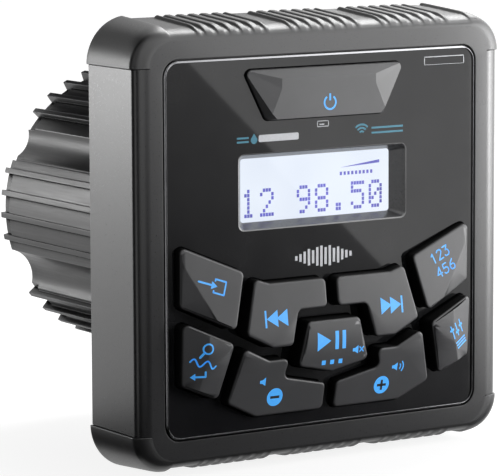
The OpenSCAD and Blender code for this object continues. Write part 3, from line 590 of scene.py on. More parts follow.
bumper("top_bumper_skin", 1, "top_bumper")
bumper("bottom_bumper_skin", -1, "bottom_bumper")


# Housing

BAND_STEPS, BAND_MID, EDGE_CUT, EDGE_MID, END_CUT = 18, 12.0, 0.4, 0.12, 0.15
SEAT_LEAD, SEAT_STEPS = 0.2, 32

# Lead-in of the opening for the panel: how far it is widened, and the depth
MOUTH_LEAD = [(0.3, 0), (0.1, 0.07), (0, 0.25), (0, PANEL_BACK)]


def side_band(shell, side):
    """The plain wall between the bumpers, with its rolled front edge."""
    inner, outer = CORE_W / 2, WALL_W / 2
    rolled = [(still_to_go(d, ROLL_D), d) for d in roll(BAND_STEPS)]
    profile = [(outer - ROLL_W * share, d, 1 - share) for share, d in rolled]
    profile += [
        (outer, BAND_MID, 1),
        (outer, BEZEL_D - EDGE_CUT, 1),
        (outer - EDGE_MID, BEZEL_D - EDGE_MID, 0.7),
        (outer - EDGE_CUT, BEZEL_D, 0),
        (inner, BEZEL_D, 0),
    ]
    rings = []
    for z, cut in ((-SEAM_Z, END_CUT), (EDGE_MID - SEAM_Z, 0), (SEAM_Z - EDGE_MID, 0), (SEAM_Z, END_CUT)):
        rings.append(shell.ring([(side * (x - cut * out), at(d), z) for x, d, out in profile]))
    shell.chain(rings)
    for end in (0, -1):
        shell.bm.faces.new(rings[end])


def housing():
    """Square frame: flat front with a small lead-in at its opening, side bands and the seats in its back."""
    shell = Shell()
    core = rectangle(CORE_W, CORE_H, CORE_R, steps=14)
    mouth_w = PANEL_W + 2 * PANEL_GAP
    mouth = rectangle(mouth_w, mouth_w, PANEL_CORNER_R + PANEL_GAP)
    inner = rectangle(INNER_W, INNER_W, PANEL_CORNER_R)
    floor = BEZEL_D - BACK_WALL
    front, back = shell.flat_ring(core, 0), shell.flat_ring(core, BEZEL_D)
    shell.chain([front, back])
    lead = [shell.flat_ring(grown(mouth, out), depth) for out, depth in MOUTH_LEAD]
    inside = [shell.flat_ring(inner, PANEL_BACK), shell.flat_ring(inner, floor)]
    shell.chain(lead + inside)
    shell.fill(front, lead[0])
    hub = [shell.flat_ring(circle(0, 0, NECK_HOLE_R), depth) for depth in (floor, BEZEL_D)]
    shell.fill(inside[-1], hub[0])
    groove_floor = BEZEL_D - GASKET_T
    for r, depths in ((GROOVE_IN_R, (BEZEL_D, groove_floor)), (GROOVE_OUT_R, (groove_floor, BEZEL_D))):
        hub += [shell.flat_ring(circle(0, 0, r), depth) for depth in depths]
    shell.chain(hub)
    loops = [back, hub[-1]]
    seat_form = [
        (SCREW_SEAT_R + SEAT_LEAD, BEZEL_D),
        (SCREW_SEAT_R, BEZEL_D - SEAT_LEAD),
        (SCREW_SEAT_R, BEZEL_D - SCREW_SEAT_D),
    ]
    for x in (-SCREW_X, SCREW_X):
        for z in (-SCREW_X, SCREW_X):
            seat = [shell.flat_ring(circle(x, z, r, SEAT_STEPS), depth) for r, depth in seat_form]
            shell.chain(seat)
            shell.fill(seat[-1])
            loops.append(seat[0])
    shell.fill(*loops)
    for side in (-1, 1):
        side_band(shell, side)
    shell.piece("housing_frame", BEZEL, replaces=["bezel_housing"], sharp=38)


housing()


# Keys: corners of the cells that they fill, on the right half of the panel

HUB, RIM_TOP, RIM_MID, RIM_LOW = (28.7, -23.1), (46.5, 4.1), (46.5, -15.0), (46.5, -35.1)
PLAY_TOP, PLAY_LOW, PLAY_TIP = (9.3, -18.7), (12.9, -33.0), (0.0, -35.8)
SHELF_Z, SKIP_TOP_Z, VOLUME_LOW_Z = -27.7, -8.0, -45.7
SHELF_SHARE = (PLAY_TOP[1] - SHELF_Z) / (PLAY_TOP[1] - PLAY_LOW[1])
SHELF_IN = (PLAY_TOP[0] + (PLAY_LOW[0] - PLAY_TOP[0]) * SHELF_SHARE, SHELF_Z)
SHELF_OUT = (19.4, SHELF_Z)
AUDIO_LOW, VOLUME_LOW = (33.4, -40.5), (22.7, VOLUME_LOW_Z)
SKIP_LEFT = [(18.5, SKIP_TOP_Z), (0, SKIP_TOP_Z)]
UPPER_CELL = [HUB, RIM_MID, RIM_TOP, (24.2, -5.3)]
LOWER_CELL = [AUDIO_LOW, RIM_LOW, RIM_MID, HUB]
SKIP_CELL = [(0, PLAY_TOP[1]), PLAY_TOP, SHELF_IN, SHELF_OUT, HUB, (24.4, -6.1)] + SKIP_LEFT
VOLUME_CELL = [(0, VOLUME_LOW_Z), VOLUME_LOW, AUDIO_LOW, HUB, SHELF_OUT, SHELF_IN, PLAY_LOW, PLAY_TIP]
PLAY_CELL = [PLAY_TIP] + both_sides([PLAY_LOW, PLAY_TOP])
UPPER_FOLD, UPPER_SLOPE = ((44.3, -2.8), (35.5, -17.5)), 14.7
LOWER_FOLD, LOWER_SLOPE = ((38.0, -23.5), (41.0, -36.1)), 19.0

# The crown that the lower keys share: Z and height of its ends and peak, and the round at its peak
CROWN_TOP, CROWN_PEAK, CROWN_LOW = Vector((1.75, 1.56)), Vector((-26.45, 5.45)), Vector((-44.2, 1.46))
CROWN_R, CROWN_STEPS, CROWN_MARGIN = 28.0, 10, 1.0
FOLD_CUTS = (-0.6, -0.25, 0, 0.25, 0.6)

# The power key: heights of its rim and ridge, radius of its edge, corners of its outline, ridge and foot
POWER_RIM, POWER_RIDGE, POWER_SOFT = 0.45, 2.6, 0.3
POWER_CELL = both_sides([(18.1, 31.8), (24.8, 44.85)])
RIDGE_LOW, RIDGE_HIGH = (14.5, 39.9), (14.5, 42.4)
FOOT_IN, FOOT_OUT = (15.7, 31.8), (17.4, 33.5)


def flank(z):
    """Height of the crown's two straight flanks above the bezel's front."""
    end = CROWN_TOP if z > CROWN_PEAK.x else CROWN_LOW
    return CROWN_PEAK.y + (end.y - CROWN_PEAK.y) * (z - CROWN_PEAK.x) / (end.x - CROWN_PEAK.x)


def crown_arc():
    """Centre and ends in Z of the round that joins the two flanks."""
    u = (CROWN_TOP - CROWN_PEAK).normalized()
    w = (CROWN_LOW - CROWN_PEAK).normalized()
    half = u.angle(w) / 2
    reach = CROWN_R / math.tan(half)
    centre = CROWN_PEAK + (u + w).normalized() * CROWN_R / math.sin(half)
    return centre, CROWN_PEAK.x + w.x * reach, CROWN_PEAK.x + u.x * reach


CROWN_CENTRE, CROWN_FROM, CROWN_TO = crown_arc()


def crown(x, z):
    """Height of the crown, which is the same at every X."""
    if CROWN_FROM < z < CROWN_TO:
        return CROWN_CENTRE.y + math.sqrt(CROWN_R**2 - (z - CROWN_CENTRE.x) ** 2)
    return flank(z)


def facet(fold, slope):
    """Height of the plane that slopes away from a fold on the crown."""
    (x0, z0), (x1, z1) = fold
    start = Vector((x0, -flank(z0), z0))
    along = Vector((x1, -flank(z1), z1)) - start
    level = Vector((-along.z, 0, along.x)).normalized()
    out = along.cross(level * math.cos(math.radians(slope)) + Vector((0, math.sin(math.radians(slope)), 0)))

    def height(x, z):
        return -(start.y - (out.x * (x - x0) + out.z * (z - z0)) / out.y)

    return height


def folded(fold, slope):
    """Height of a side key: the crown, cut by its outer facet."""
    plane = facet(fold, slope)
    return lambda x, z: min(crown(x, z), plane(abs(x), z))


def hull_height(outline, plateau, low, high):
    """Height of the hull between an outline and a plateau above it."""
    tests = []
    for shape in (outline, plateau):
        for a, b in zip(shape, shape[1:] + shape[:1]):
            n = Vector((b[1] - a[1], a[0] - b[0])).normalized()
            reach = max(n.dot(Vector(p)) for p in outline)
            top = max(n.dot(Vector(p)) for p in plateau)
            if reach - top > TINY:
                tests.append((n, reach, reach - top))

    def height(x, z):
        share = min((reach - n.x * x - n.y * z) / gap for n, reach, gap in tests)
        return low + (high - low) * max(0.0, min(1.0, share))

    height.slopes = [(n / gap, reach / gap) for n, reach, gap in tests]
    return height


POWER_TOP = hull_height(POWER_CELL, both_sides([RIDGE_LOW, RIDGE_HIGH]), POWER_RIM, POWER_RIDGE)
POWER_LOW = hull_height(POWER_CELL, both_sides([FOOT_IN, FOOT_OUT, RIDGE_LOW]), POWER_RIM, POWER_RIDGE)


def power_height(x, z):
    """Height of the power key: the higher of its two hulls."""
    return max(POWER_TOP(x, z), POWER_LOW(x, z))


def power_folds():
    """Upright planes through every line where two faces of the power key can meet."""
    slopes = POWER_TOP.slopes + POWER_LOW.slopes
    lines = [(n, reach - 1) for n, reach in slopes]
    for k, (n, reach) in enumerate(slopes):
        lines += [(n - other, reach - far) for other, far in slopes[:k]]
    planes = []
    for n, d in lines:
        if n.length > SAME_SLOPE:
            point = (n.x * d / n.length_squared, 0, n.y * d / n.length_squared)
            planes.append((point, (n.x / n.length, 0, n.y / n.length)))
    return planes


def crown_cuts(side, fold):
    """Planes that divide the top of a lower key: across the crown's round, and along its fold."""
    zs = even(CROWN_FROM, CROWN_TO, CROWN_STEPS) + [CROWN_FROM - CROWN_MARGIN, CROWN_TO + CROWN_MARGIN]
    cuts = [((0, 0, z), (0, 0, 1)) for z in zs]
    if fold:
        (x0, z0), (x1, z1) = fold
        normal = Vector((side * (z0 - z1), 0, x1 - x0)).normalized()
        cuts += [(Vector((side * x0, 0, z0)) + normal * off, normal) for off in FOLD_CUTS]
    return cuts


UPPER_HEIGHT = folded(UPPER_FOLD, UPPER_SLOPE)
LOWER_HEIGHT = folded(LOWER_FOLD, LOWER_SLOPE)

# Each key: cell, side of the panel, height and fold
KEYS = {
    "key_power": (POWER_CELL, 1, power_height, None),
    "key_source": (UPPER_CELL, -1, UPPER_HEIGHT, UPPER_FOLD),
    "key_band": (LOWER_CELL, -1, LOWER_HEIGHT, LOWER_FOLD),
    "key_previous": (SKIP_CELL, -1, crown, None),
    "key_next": (SKIP_CELL, 1, crown, None),
    "key_play": (PLAY_CELL, 1, crown, None),
    "key_volume_down": (VOLUME_CELL, -1, crown, None),
    "key_volume_up": (VOLUME_CELL, 1, crown, None),
    "key_preset": (UPPER_CELL, 1, UPPER_HEIGHT, UPPER_FOLD),
    "key_audio": (LOWER_CELL, 1, LOWER_HEIGHT, LOWER_FOLD),
}

# Each kind of cap: steps round a corner, radius and steps of its edge, sharp angle and material
SOFT_CAP = (8, KEY_SOFT, 7, 60, KEY)
CRISP_CAP = (16, POWER_SOFT, 11, 10, POWER_KEY)


def key_outline(name, steps=8):
    """Outline of a key with rounded corners, at its place on the panel."""
    cell, side, _, _ = KEYS[name]
    corners = cell if name == "key_power" else grown(cell, -KEY_GAP / 2)
    line = rounded(corners, KEY_CORNER_R, steps)
    return flip(line) if side < 0 else line


def key_piece(name):
    """A key cap: straight walls, a soft round along its edge and a crowned or faceted top."""
    _, side, height, fold = KEYS[name]
    crisp = name == "key_power"
    corner_steps, soft, steps, sharp, material = CRISP_CAP if crisp else SOFT_CAP
    line = key_outline(name, corner_steps)
    shell = Shell()
    rings = [shell.flat_ring(line, KEY_BASE)]
    for a in even(0, math.pi / 2, steps):
        ring = grown(line, -soft * (1 - math.cos(a)))
        drop = soft * (1 - math.sin(a))
        rings.append(shell.ring([(p.x, at(drop - height(p.x, p.y)), p.y) for p in ring]))
    shell.chain(rings)
    shell.fill(rings[0])
    cap = shell.fill(rings[-1])
    for point, normal in power_folds() if crisp else crown_cuts(side, fold):
        cap = shell.cut(cap, point, normal)
    for v in {v for f in cap for v in f.verts}:
        v.co.y = at(-height(v.co.x / MM, v.co.z / MM)) * MM
    shell.piece(name + "_cap", material, body=name, replaces=[name], sharp=sharp)


for key in KEYS:
    key_piece(key)


# Front panel: how far its forms are moved in or out, and their depth below its face

PANEL_RIM = [(-0.1, 2.2), (-0.1, 0.1), (-0.2, 0)]
WINDOW_EDGE = [(0.15, 0), (0, 0.15), (0, 2.2)]
RECESS_OUT, RECESS_R, RECESS_R_LOSS = 0.3, 1.5, 0.7
RECESS_EDGE = [(RECESS_OUT, 0), (0.2, 0.03), (0.08, 0.1), (0, 0.25), (0, DISPLAY_BACK - PANEL_SINK)]

# Bead round the panel: how far it is in from the panel's edge, and its depth behind the bezel's front
BEAD = [(0, 2.3), (0, 0.14), (0.03, 0.07), (0.4, -0.26)]
BEAD += [(0.46, -0.29), (0.52, -0.25), (0.56, -0.05), (0.58, 0.25)]


def front_panel():
    """Flat panel and its key windows with small lead-ins."""
    shell = Shell()
    edge = rectangle(PANEL_W, PANEL_W, PANEL_CORNER_R)
    outer = [shell.flat_ring(grown(edge, out), PANEL_SINK + d) for out, d in PANEL_RIM]
    shell.chain(outer)
    loops = [outer[-1]]
    for name in KEYS:
        line = grown(key_outline(name), KEY_FIT / 2 if name == "key_power" else KEY_FIT)
        rings = [shell.flat_ring(grown(line, out), PANEL_SINK + d) for out, d in WINDOW_EDGE]
        shell.chain(rings)
        loops.append(rings[0])
    loops.append(shell.flat_ring(recess_line(0, RECESS_OUT), PANEL_SINK))
    shell.fill(*loops)
    shell.piece("front_panel_face", PANEL, replaces=["front_panel"], face_y=-1)


def recess_line(depth, out):
    """Outline of the display's recess at a depth below the panel's face."""
    share = depth / (DISPLAY_BACK - PANEL_SINK)
    w = DISPLAY_W - 2 * SIDE_SLOPE * share + 2 * out
    h = DISPLAY_H - 2 * TOP_SLOPE * share + 2 * out
    return rectangle(w, h, RECESS_R - RECESS_R_LOSS * share + out, DISPLAY_Z)


def recess():
    """Sloping satin walls round the display, with a soft upper edge."""
    shell = Shell()
    shell.chain([shell.flat_ring(recess_line(d, out), PANEL_SINK + d) for out, d in RECESS_EDGE])
    shell.piece("display_recess", RECESS, face_y=-1, sharp=50)


def panel_edge():
    """Thin polished bead round the panel, a little proud of the bezel."""
    shell = Shell()
    edge = rectangle(PANEL_W, PANEL_W, PANEL_CORNER_R)
    shell.chain([shell.flat_ring(grown(edge, -cut), depth) for cut, depth in BEAD])
    shell.piece("panel_edge", EDGE, face_y=-1, sharp=50)


recess()
front_panel()
panel_edge()


# Legends: plain shapes about their own middle, in millimetres

PRINT_LIFT, BAR_LIFT, DOT_LIFT = 0.02, 0.05, 0.04
LEGEND_CUT, PEN_STEPS, DISC_STEPS = 0.75, 8, 28
DIGIT_PITCH, DIGIT_W, DIGIT_H, DIGIT_PEN = 2.7, 2.0, 3.0, 0.42


def arc(x, z, r, width, start, end, steps=24):
    """Band along a circle, between two angles in degrees."""
    angles = even(math.radians(start), math.radians(end), steps)
    return polar(x, z, r + width / 2, angles) + polar(x, z, r - width / 2, reversed(angles))


def stroke(points, width):
    """A pen line with round ends and joints."""
    out = []
    for a, b in zip(points, points[1:]):
        turn = math.atan2(b[1] - a[1], b[0] - a[0])
        shape = []
        for (x, z), base in ((b, turn - math.pi / 2), (a, turn + math.pi / 2)):
            shape += polar(x, z, width / 2, even(base, base + math.pi, PEN_STEPS))
        out.append(shape)
    return out


def block(x0, z0, x1, z1):
    return [(x0, z0), (x1, z0), (x1, z1), (x0, z1)]


def box_line(x0, z0, x1, z1, width):
    corners = block(x0, z0, x1, z1)
    return stroke(corners + corners[:1], width)


def triangle(x, z, w, h):
    return [(x - w / 2, z - h / 2), (x + w / 2, z), (x - w / 2, z + h / 2)]


def placed(shapes, x, z, turn=0.0, scale=1.0):
    """Shapes moved to a place on the panel, and turned by an angle in degrees."""
    c, s = math.cos(math.radians(turn)) * scale, math.sin(math.radians(turn)) * scale
    return [[(x + c * u - s * v, z + s * u + c * v) for u, v in shape] for shape in shapes]


# Pen lines of plain digits in a cell of 2 by 3
DIGITS = {
    "1": [(0.5, 2.4), (1.1, 3.0), (1.1, 0.0)],
    "2": [(0.1, 2.6), (0.5, 3.0), (1.4, 3.0), (1.8, 2.6), (1.8, 2.0), (0.1, 0.0), (1.9, 0.0)],
    "3": [(0.1, 3.0), (1.8, 3.0), (0.9, 1.8), (1.5, 1.7), (1.8, 1.2), (1.8, 0.5)]
    + [(1.4, 0.0), (0.4, 0.0), (0.1, 0.4)],
    "4": [(1.4, 0.0), (1.4, 3.0), (0.0, 0.9), (1.9, 0.9)],
    "5": [(1.7, 3.0), (0.3, 3.0), (0.2, 1.7), (1.3, 1.8), (1.8, 1.3), (1.8, 0.6)]
    + [(1.3, 0.0), (0.4, 0.0), (0.1, 0.4)],
    "6": [(1.6, 3.0), (0.6, 2.2), (0.1, 1.2), (0.1, 0.5), (0.5, 0.0), (1.4, 0.0)]
    + [(1.8, 0.5), (1.8, 1.1), (1.4, 1.6), (0.4, 1.5)],
}


def number(text):
    out = []
    start = -((len(text) - 1) * DIGIT_PITCH + DIGIT_W) / 2
    for i, digit in enumerate(text):
        left = start + i * DIGIT_PITCH
        out += stroke([(left + u, v - DIGIT_H / 2) for u, v in DIGITS[digit]], DIGIT_PEN)
    return out


def legend(name, shapes, material, body="chassis", height=None, lift=PRINT_LIFT):
    """Thin printed shapes that follow the surface that carries them."""
    surface = height or (lambda x, z: -PANEL_SINK)
    shell = Shell()
    faces = []
    for shape in shapes:
        ring = shell.ring([(u, 0, v) for u, v in shape])
        faces += shell.fill(ring)
    if height:
        zs = [v for shape in shapes for _, v in shape]
        z = math.ceil(min(zs))
        while z < max(zs):
            faces = shell.cut(faces, (0, 0, z), (0, 0, 1))
            z += LEGEND_CUT
    for v in shell.bm.verts:
        v.co.y = at(-surface(v.co.x / MM, v.co.z / MM) - lift) * MM
    shell.piece(name, material, body=body, face_y=-1, sharp=60)


def key_legend(key, name, shapes, place, turn=0.0, material=BLUE, lift=PRINT_LIFT):
    """A legend on a key, which moves with it."""
    shapes = placed(shapes, *place, turn)
    legend(name, shapes, material, body=key, height=KEYS[key][2], lift=lift)


POWER_MARK = [arc(0, 0, 1.75, 0.5, 125, 415), block(-0.27, 0.5, 0.27, 2.3)]
SKIP = [triangle(-1.5, 0, 3.4, 4.4), triangle(1.5, 0, 3.4, 4.4), block(3.2, -2.2, 3.75, 2.2)]
SKIP_BACK = [flip(shape) for shape in SKIP]
PLAY_PAUSE = [triangle(-2.6, 0, 4.2, 5.0), block(0.8, -2.4, 1.9, 2.4), block(3.0, -2.4, 4.1, 2.4)]
SPEAKER = [block(-1.5, -0.45, -0.8, 0.45), [(-0.8, -0.45), (0.2, -1.1), (0.2, 1.1), (-0.8, 0.45)]]
CROSS = stroke([(0.7, -0.6), (1.8, 0.6)], 0.35) + stroke([(0.7, 0.6), (1.8, -0.6)], 0.35)
SOUND = [arc(0.2, 0, r, 0.35, -45, 45) for r in (1.0, 1.9)]
THREE_DOTS = [block(x - 0.6, -0.6, x + 0.6, 0.6) for x in (-2.6, 0, 2.6)]
DISC = [circle(0, 0, 2.4, DISC_STEPS)]
BAR, POST = block(-1.4, -0.35, 1.4, 0.35), block(-0.35, -1.4, 0.35, 1.4)
LENS = [arc(0, 0.4, 1.25, 0.45, start, start + 180) for start in (0, 180)]
LENS_GRIP = stroke([(-0.9, -0.5), (-2.0, -1.7)], 0.6)
WAVE_L, WAVE_H, WAVE_STEP = 3.4, 0.85, 0.25
WAVE_X = [WAVE_STEP * k for k in range(28)]
WAVE = stroke([(x - WAVE_L, WAVE_H * math.sin(2 * math.pi * x / WAVE_L)) for x in WAVE_X], 0.42)
RETURN = stroke([(1.6, 1.0), (1.6, -0.2), (-1.2, -0.2)], 0.5) + [[(-2.2, -0.2), (-0.9, -1.1), (-0.9, 0.7)]]
ARROW = stroke([(-4.6, 0), (-0.6, 0)], 0.5) + [triangle(0.2, 0, 1.8, 2.0)]
SOCKET = stroke([(0.2, 1.3), (0.2, 1.7), (3.4, 1.7), (3.4, -1.7), (0.2, -1.7), (0.2, -1.3)], 0.45)
PRESETS = placed(number("123"), 0.4, 2.1, 0, 0.85) + placed(number("456"), 0.4, -1.9, 0, 0.85)
SLIDERS = []
for x, knob in ((-2.0, 0.9), (0, -0.8), (2.0, 0.3)):
    SLIDERS += stroke([(x, -2.1), (x, 2.1)], 0.38)
    SLIDERS.append(block(x - 0.75, knob - 0.35, x + 0.75, knob + 0.35))
LINES = [block(-2.2, z - 0.22, 2.2, z + 0.22) for z in (0.9, 0.0, -0.9)]
MIXER = placed(SLIDERS, -0.2, 1.7, 0, 0.9) + placed(LINES, 0, -2.6, 0, 0.9)
MINUS_AT, PLUS_AT = (-17.1, -39.3), (16.3, -39.5)

key_legend("key_power", "power_mark", POWER_MARK, (0.15, 35.6))
key_legend("key_previous", "previous_mark", SKIP_BACK, (-17.4, -18.6))
key_legend("key_next", "next_mark", SKIP, (18.1, -18.3))
key_legend("key_play", "play_mark", PLAY_PAUSE, (-0.7, -25.8))
key_legend("key_play", "mute_mark", SPEAKER + CROSS, (7.2, -28.9))
key_legend("key_play", "menu_mark", THREE_DOTS, (-0.5, -31.5))
key_legend("key_volume_down", "minus_disc", DISC, MINUS_AT)
key_legend("key_volume_down", "minus_bar", [BAR], MINUS_AT, material=DARK, lift=BAR_LIFT)
key_legend("key_volume_up", "plus_disc", DISC, PLUS_AT)
key_legend("key_volume_up", "plus_bars", [BAR, POST], PLUS_AT, material=DARK, lift=BAR_LIFT)
key_legend("key_volume_down", "quiet_mark", SPEAKER, (-20.7, -34.8))
key_legend("key_volume_up", "loud_mark", SPEAKER + SOUND, (20.5, -34.9))
key_legend("key_band", "search_mark", LENS + LENS_GRIP, (-38.4, -24.9))
key_legend("key_band", "wave_mark", WAVE, (-39.5, -28.3), -12)
key_legend("key_band", "return_mark", RETURN, (-40.6, -31.4))
key_legend("key_source", "input_mark", ARROW + SOCKET, (-35.6, -8.8), -18)
key_legend("key_preset", "preset_mark", PRESETS, (35.4, -8.6), 24)
key_legend("key_audio", "sliders_mark", MIXER, (40.4, -28.0), 28)

SCREEN = box_line(-1.7, -0.7, 1.7, 0.7, 0.2) + [block(-1.1, -0.3, 0.4, 0.0)]
DROP_HALF = [(0.6, -1.1), (1.0, -0.5), (0.95, 0.05)]
DROP = [(0, -1.3)] + DROP_HALF + [(0, 1.4)] + flip(DROP_HALF)
DROP_BARS = [block(-5.2, z, -1.6, z + 0.5) for z in (-0.9, 0.1)]
ARCS = [arc(-5.5, -1.1, r, 0.5, 45, 135) for r in (0.9, 1.8, 2.7)]
ARC_BARS = [block(-2.4, z, 7.6, z + 0.5) for z in (-1.0, 0.3)]
LEVELS = (1.2, 2.0, 3.1, 4.3, 3.4, 4.8, 5.4, 4.4, 5.2, 3.6, 4.2, 2.8, 2.0, 1.3)
LEVEL_PITCH, LEVEL_W = 1.3, 0.75
LEVEL_BARS = [block(LEVEL_PITCH * i, -h / 2, LEVEL_PITCH * i + LEVEL_W, h / 2) for i, h in enumerate(LEVELS)]

legend("display_mark", placed(SCREEN, -0.2, 29.9), PALE)
legend("plate_pale", [rounded(block(-19.9, 26.3, -7.7, 28.1), 0.4, 4)], PALE)
legend("drop_teal", placed([DROP] + DROP_BARS, -21.3, 27.2), TEAL)
legend("waves_teal", placed(ARCS + ARC_BARS, 17.4, 27.4), TEAL)
legend("level_bars", placed(LEVEL_BARS, -8.9, -4.4), PALE)
legend("plate_outline", box_line(31.9, 43.4, 44.6, 45.5, 0.22), PALE)


# Display

SHOWN, SHOWN_LEFT, SHOWN_LOW = "12 98.50", -22.4, 6.5
LETTER_PITCH, LETTER_W, LETTER_H = 5.65, 4.3, 7.4
DOTS_ACROSS, DOTS_DOWN, DOT_W, DOT_H = 5, 7, 0.86, 0.84

# Five by seven dots of the characters that the display shows
FONT = {
    "0": "01110100011001110101110011000101110",
    "1": "00100011000010000100001000010001110",
    "2": "01110100010000100010001000100011111",
    "5": "11111100001111000001000011000101110",
    "8": "01110100011000101110100011000101110",
    "9": "01110100011000101111000010001001100",
    ".": "00000000000000000000000000110001100",
}


def display_dots():
    """Dot-matrix characters, one small plate for each dark dot."""
    across, down = LETTER_W / DOTS_ACROSS, LETTER_H / DOTS_DOWN
    shapes = []
    for i, letter in enumerate(SHOWN):
        for k, dot in enumerate(FONT.get(letter, "")):
            if dot == "1":
                x = SHOWN_LEFT + i * LETTER_PITCH + (k % DOTS_ACROSS) * across
                z = SHOWN_LOW + (DOTS_DOWN - 1 - k // DOTS_ACROSS) * down
                shapes.append(block(x, z, x + across * DOT_W, z + down * DOT_H))
    return shapes


def lcd_face(x, z):
    """Height of the display's face, which is flat."""
    return -WINDOW_BACK


WEDGE = [(8.0, 17.6), (20.5, 18.2), (20.5, 19.0)]
TICKS = [block(8 + 1.2 * k, 15.6, 8.7 + 1.2 * k, 16.5) for k in range(9)]
legend("display_digits", display_dots(), DOTS, height=lcd_face, lift=DOT_LIFT)
legend("display_marks", [WEDGE] + TICKS, DOTS, height=lcd_face, lift=DOT_LIFT)
dress("lcd_panel", LCD)
dress("display_window", WINDOW)


# Studs

THREAD_PITCH, THREAD_D, THREAD_SLOPE, STUD_CHAMFER = 0.8, 0.38, 2.6, 0.9
STUD_SIDES, RINGS_PER_TURN, STUD_SUNK = 28, 7, 1.0


def studs():
    """Two threaded studs with a chamfered end."""
    shell = Shell()
    start = BODY_L - STUD_SUNK
    steps = int((STUD_END - BODY_L) / THREAD_PITCH * RINGS_PER_TURN)
    for side in (-1, 1):
        rings = []
        for y in even(start, STUD_END, steps):
            ring = []
            for k in range(STUD_SIDES):
                a = 2 * math.pi * k / STUD_SIDES
                phase = (y / THREAD_PITCH - k / STUD_SIDES) % 1.0
                tooth = min(1.0, abs(phase - 0.5) * THREAD_SLOPE)
                r = STUD_R - THREAD_D * (1 - tooth)
                r = min(r, STUD_R - STUD_CHAMFER + max(0.0, STUD_END - y))
                ring.append((side * STUD_X + r * math.cos(a), y, r * math.sin(a)))
            rings.append(shell.ring(ring))
        shell.chain(rings)
        shell.fill(rings[0])
        shell.fill(rings[-1])
    shell.piece("stud_threads", STEEL, replaces=["mounting_studs"], sharp=60)


studs()


# CAD nodes that keep their shape, some with softened edges

dress("heat_sink_body", BODY, 0.22, plain=False)
dress("rear_cover", COVER, 0.25)
dress("dash_gasket", SEAL, 0.15)
dress("harness_gland", SEAL, 0.3)
dress("antenna_gland", SEAL, 0.3)
dress("rear_screws", STEEL, 0.12)
dress("panel_screws", STEEL, 0.12)
dress("lock_ring", STEEL, 0.2)
dress("body_seal", SEAL)
dress("keypad_mat", SEAL)
dress("backlight", PALE)
for node in ("front_board", "main_board"):
    dress(node, BOARD)
for node in ("key_switches", "board_connector", "amplifier_chip", "filter_capacitors", "power_choke"):
    dress(node, PARTS)
for node in ("main_board_screws", "clamp_screws", "amplifier_clamp", "tuner_module"):
    dress(node, STEEL)


# Studio

FLOOR_Z, FLOOR_HALF, AMBIENT = -BACK_HALF_H - 0.05, 6000, 0.1
FLOOR_COLOUR, SHADOW_COLOUR = (0.7, 0.7, 0.7), (0.3, 0.3, 0.3)

# Glow of the floor near the part, and the distances between which it rises to white
NEAR_GLOW, GLOW_FROM, GLOW_TO = 0.84, 60, 200


def bare_material(name):
    """A material without nodes, and its wiring."""
    material = bpy.data.materials.new(name)
    wiring = Wiring(material)
    wiring.nodes.clear()
    return material, wiring


def seen_directly(wiring):
    """1 for camera, glossy and transmission rays."""
    path = wiring.node("LightPath").outputs
    total = path["Is Camera Ray"]
    for name in ("Is Glossy Ray", "Is Transmission Ray"):
        total = wiring.node("Math", total, path[name], operation="MAXIMUM")
    return total


def floor_material():
    """A pale floor that keeps the shadow, and shows white to the camera and in reflections."""
    material, wiring = bare_material("floor_white")
    place = wiring.node("TexCoord").outputs["Object"]
    away = wiring.node("VectorMath", place, operation="LENGTH").outputs["Value"]
    level = wiring.spread(away, NEAR_GLOW, 1.0, GLOW_FROM * MM, GLOW_TO * MM)
    shadow = wiring.node("BsdfDiffuse", (*SHADOW_COLOUR, 1))
    white = wiring.node("AddShader", shadow, wiring.node("Emission", Strength=level))
    pale = wiring.node("BsdfDiffuse", (*FLOOR_COLOUR, 1))
    wiring.node("OutputMaterial", wiring.node("MixShader", seen_directly(wiring), pale, white))
    return material


def sheet(name, corners, material):
    """A flat stage piece through its corners."""
    mesh = bpy.data.meshes.new(name)
    mesh.from_pydata([Vector(c) * MM for c in corners], [], [list(range(len(corners)))])
    mesh.materials.append(material)
    obj = added(name, mesh)
    return obj


def between(low, high):
    """Corners of a flat rectangle between two points that share X, Y or Z."""
    (x0, y0, z0), (x1, y1, z1) = low, high
    if z0 == z1:
        return [low, (x1, y0, z0), high, (x0, y1, z0)]
    return [low, (x1, y1, z0), high, (x0, y0, z1)]


def studio_world():
    """White where it is seen directly, and a faint light on everything else."""
    world = bpy.data.worlds.new("studio_world")
    bpy.context.scene.world = world
    wiring = Wiring(world)
    level = wiring.spread(seen_directly(wiring), AMBIENT, 1.0, 0.0, 1.0)
    wiring.join(wiring.nodes["Background"], {"Color": (1, 1, 1, 1), "Strength": level})


FLOOR_CORNERS = between((-FLOOR_HALF, -FLOOR_HALF, FLOOR_Z), (FLOOR_HALF, FLOOR_HALF, FLOOR_Z))
sheet("studio_floor", FLOOR_CORNERS, floor_material())
studio_world()


# Cards that only show in reflections, and lamps

CARD_Y, RIM_CARD_Y, CARD_LOW, CARD_TOP = -70, -69.9, -58.3, 250
FLOOR_CARD_Z, BELOW_CARD_Z = -58.25, -58.2
STRIP_LEFT, STRIP_RIGHT, FRONT_RIGHT, SHEEN_LOW_Z, SHEEN_TOP_Z = -80, -48, 95, 77.4, 110
UP, RIGHT, SLANT = (0, 0, 1), (1, 0, 0), (0.52, 0, 0.85)


def card(name, corners, glow=0.0, rise=None):
    """A reflection card: dark, or with a glow that may rise along a direction between two places."""
    material, wiring = bare_material(name)
    level = glow
    if rise:
        direction, start, end = rise
        place = wiring.node("TexCoord").outputs["Object"]
        along = wiring.node("VectorMath", place, direction, operation="DOT_PRODUCT").outputs["Value"]
        level = wiring.spread(along, 0.0, glow, start * MM, end * MM)
    wiring.node("OutputMaterial", wiring.node("Emission", Strength=level))
    obj = sheet(name, corners, material)
    obj.visible_camera = obj.visible_diffuse = obj.visible_shadow = obj.visible_transmission = False


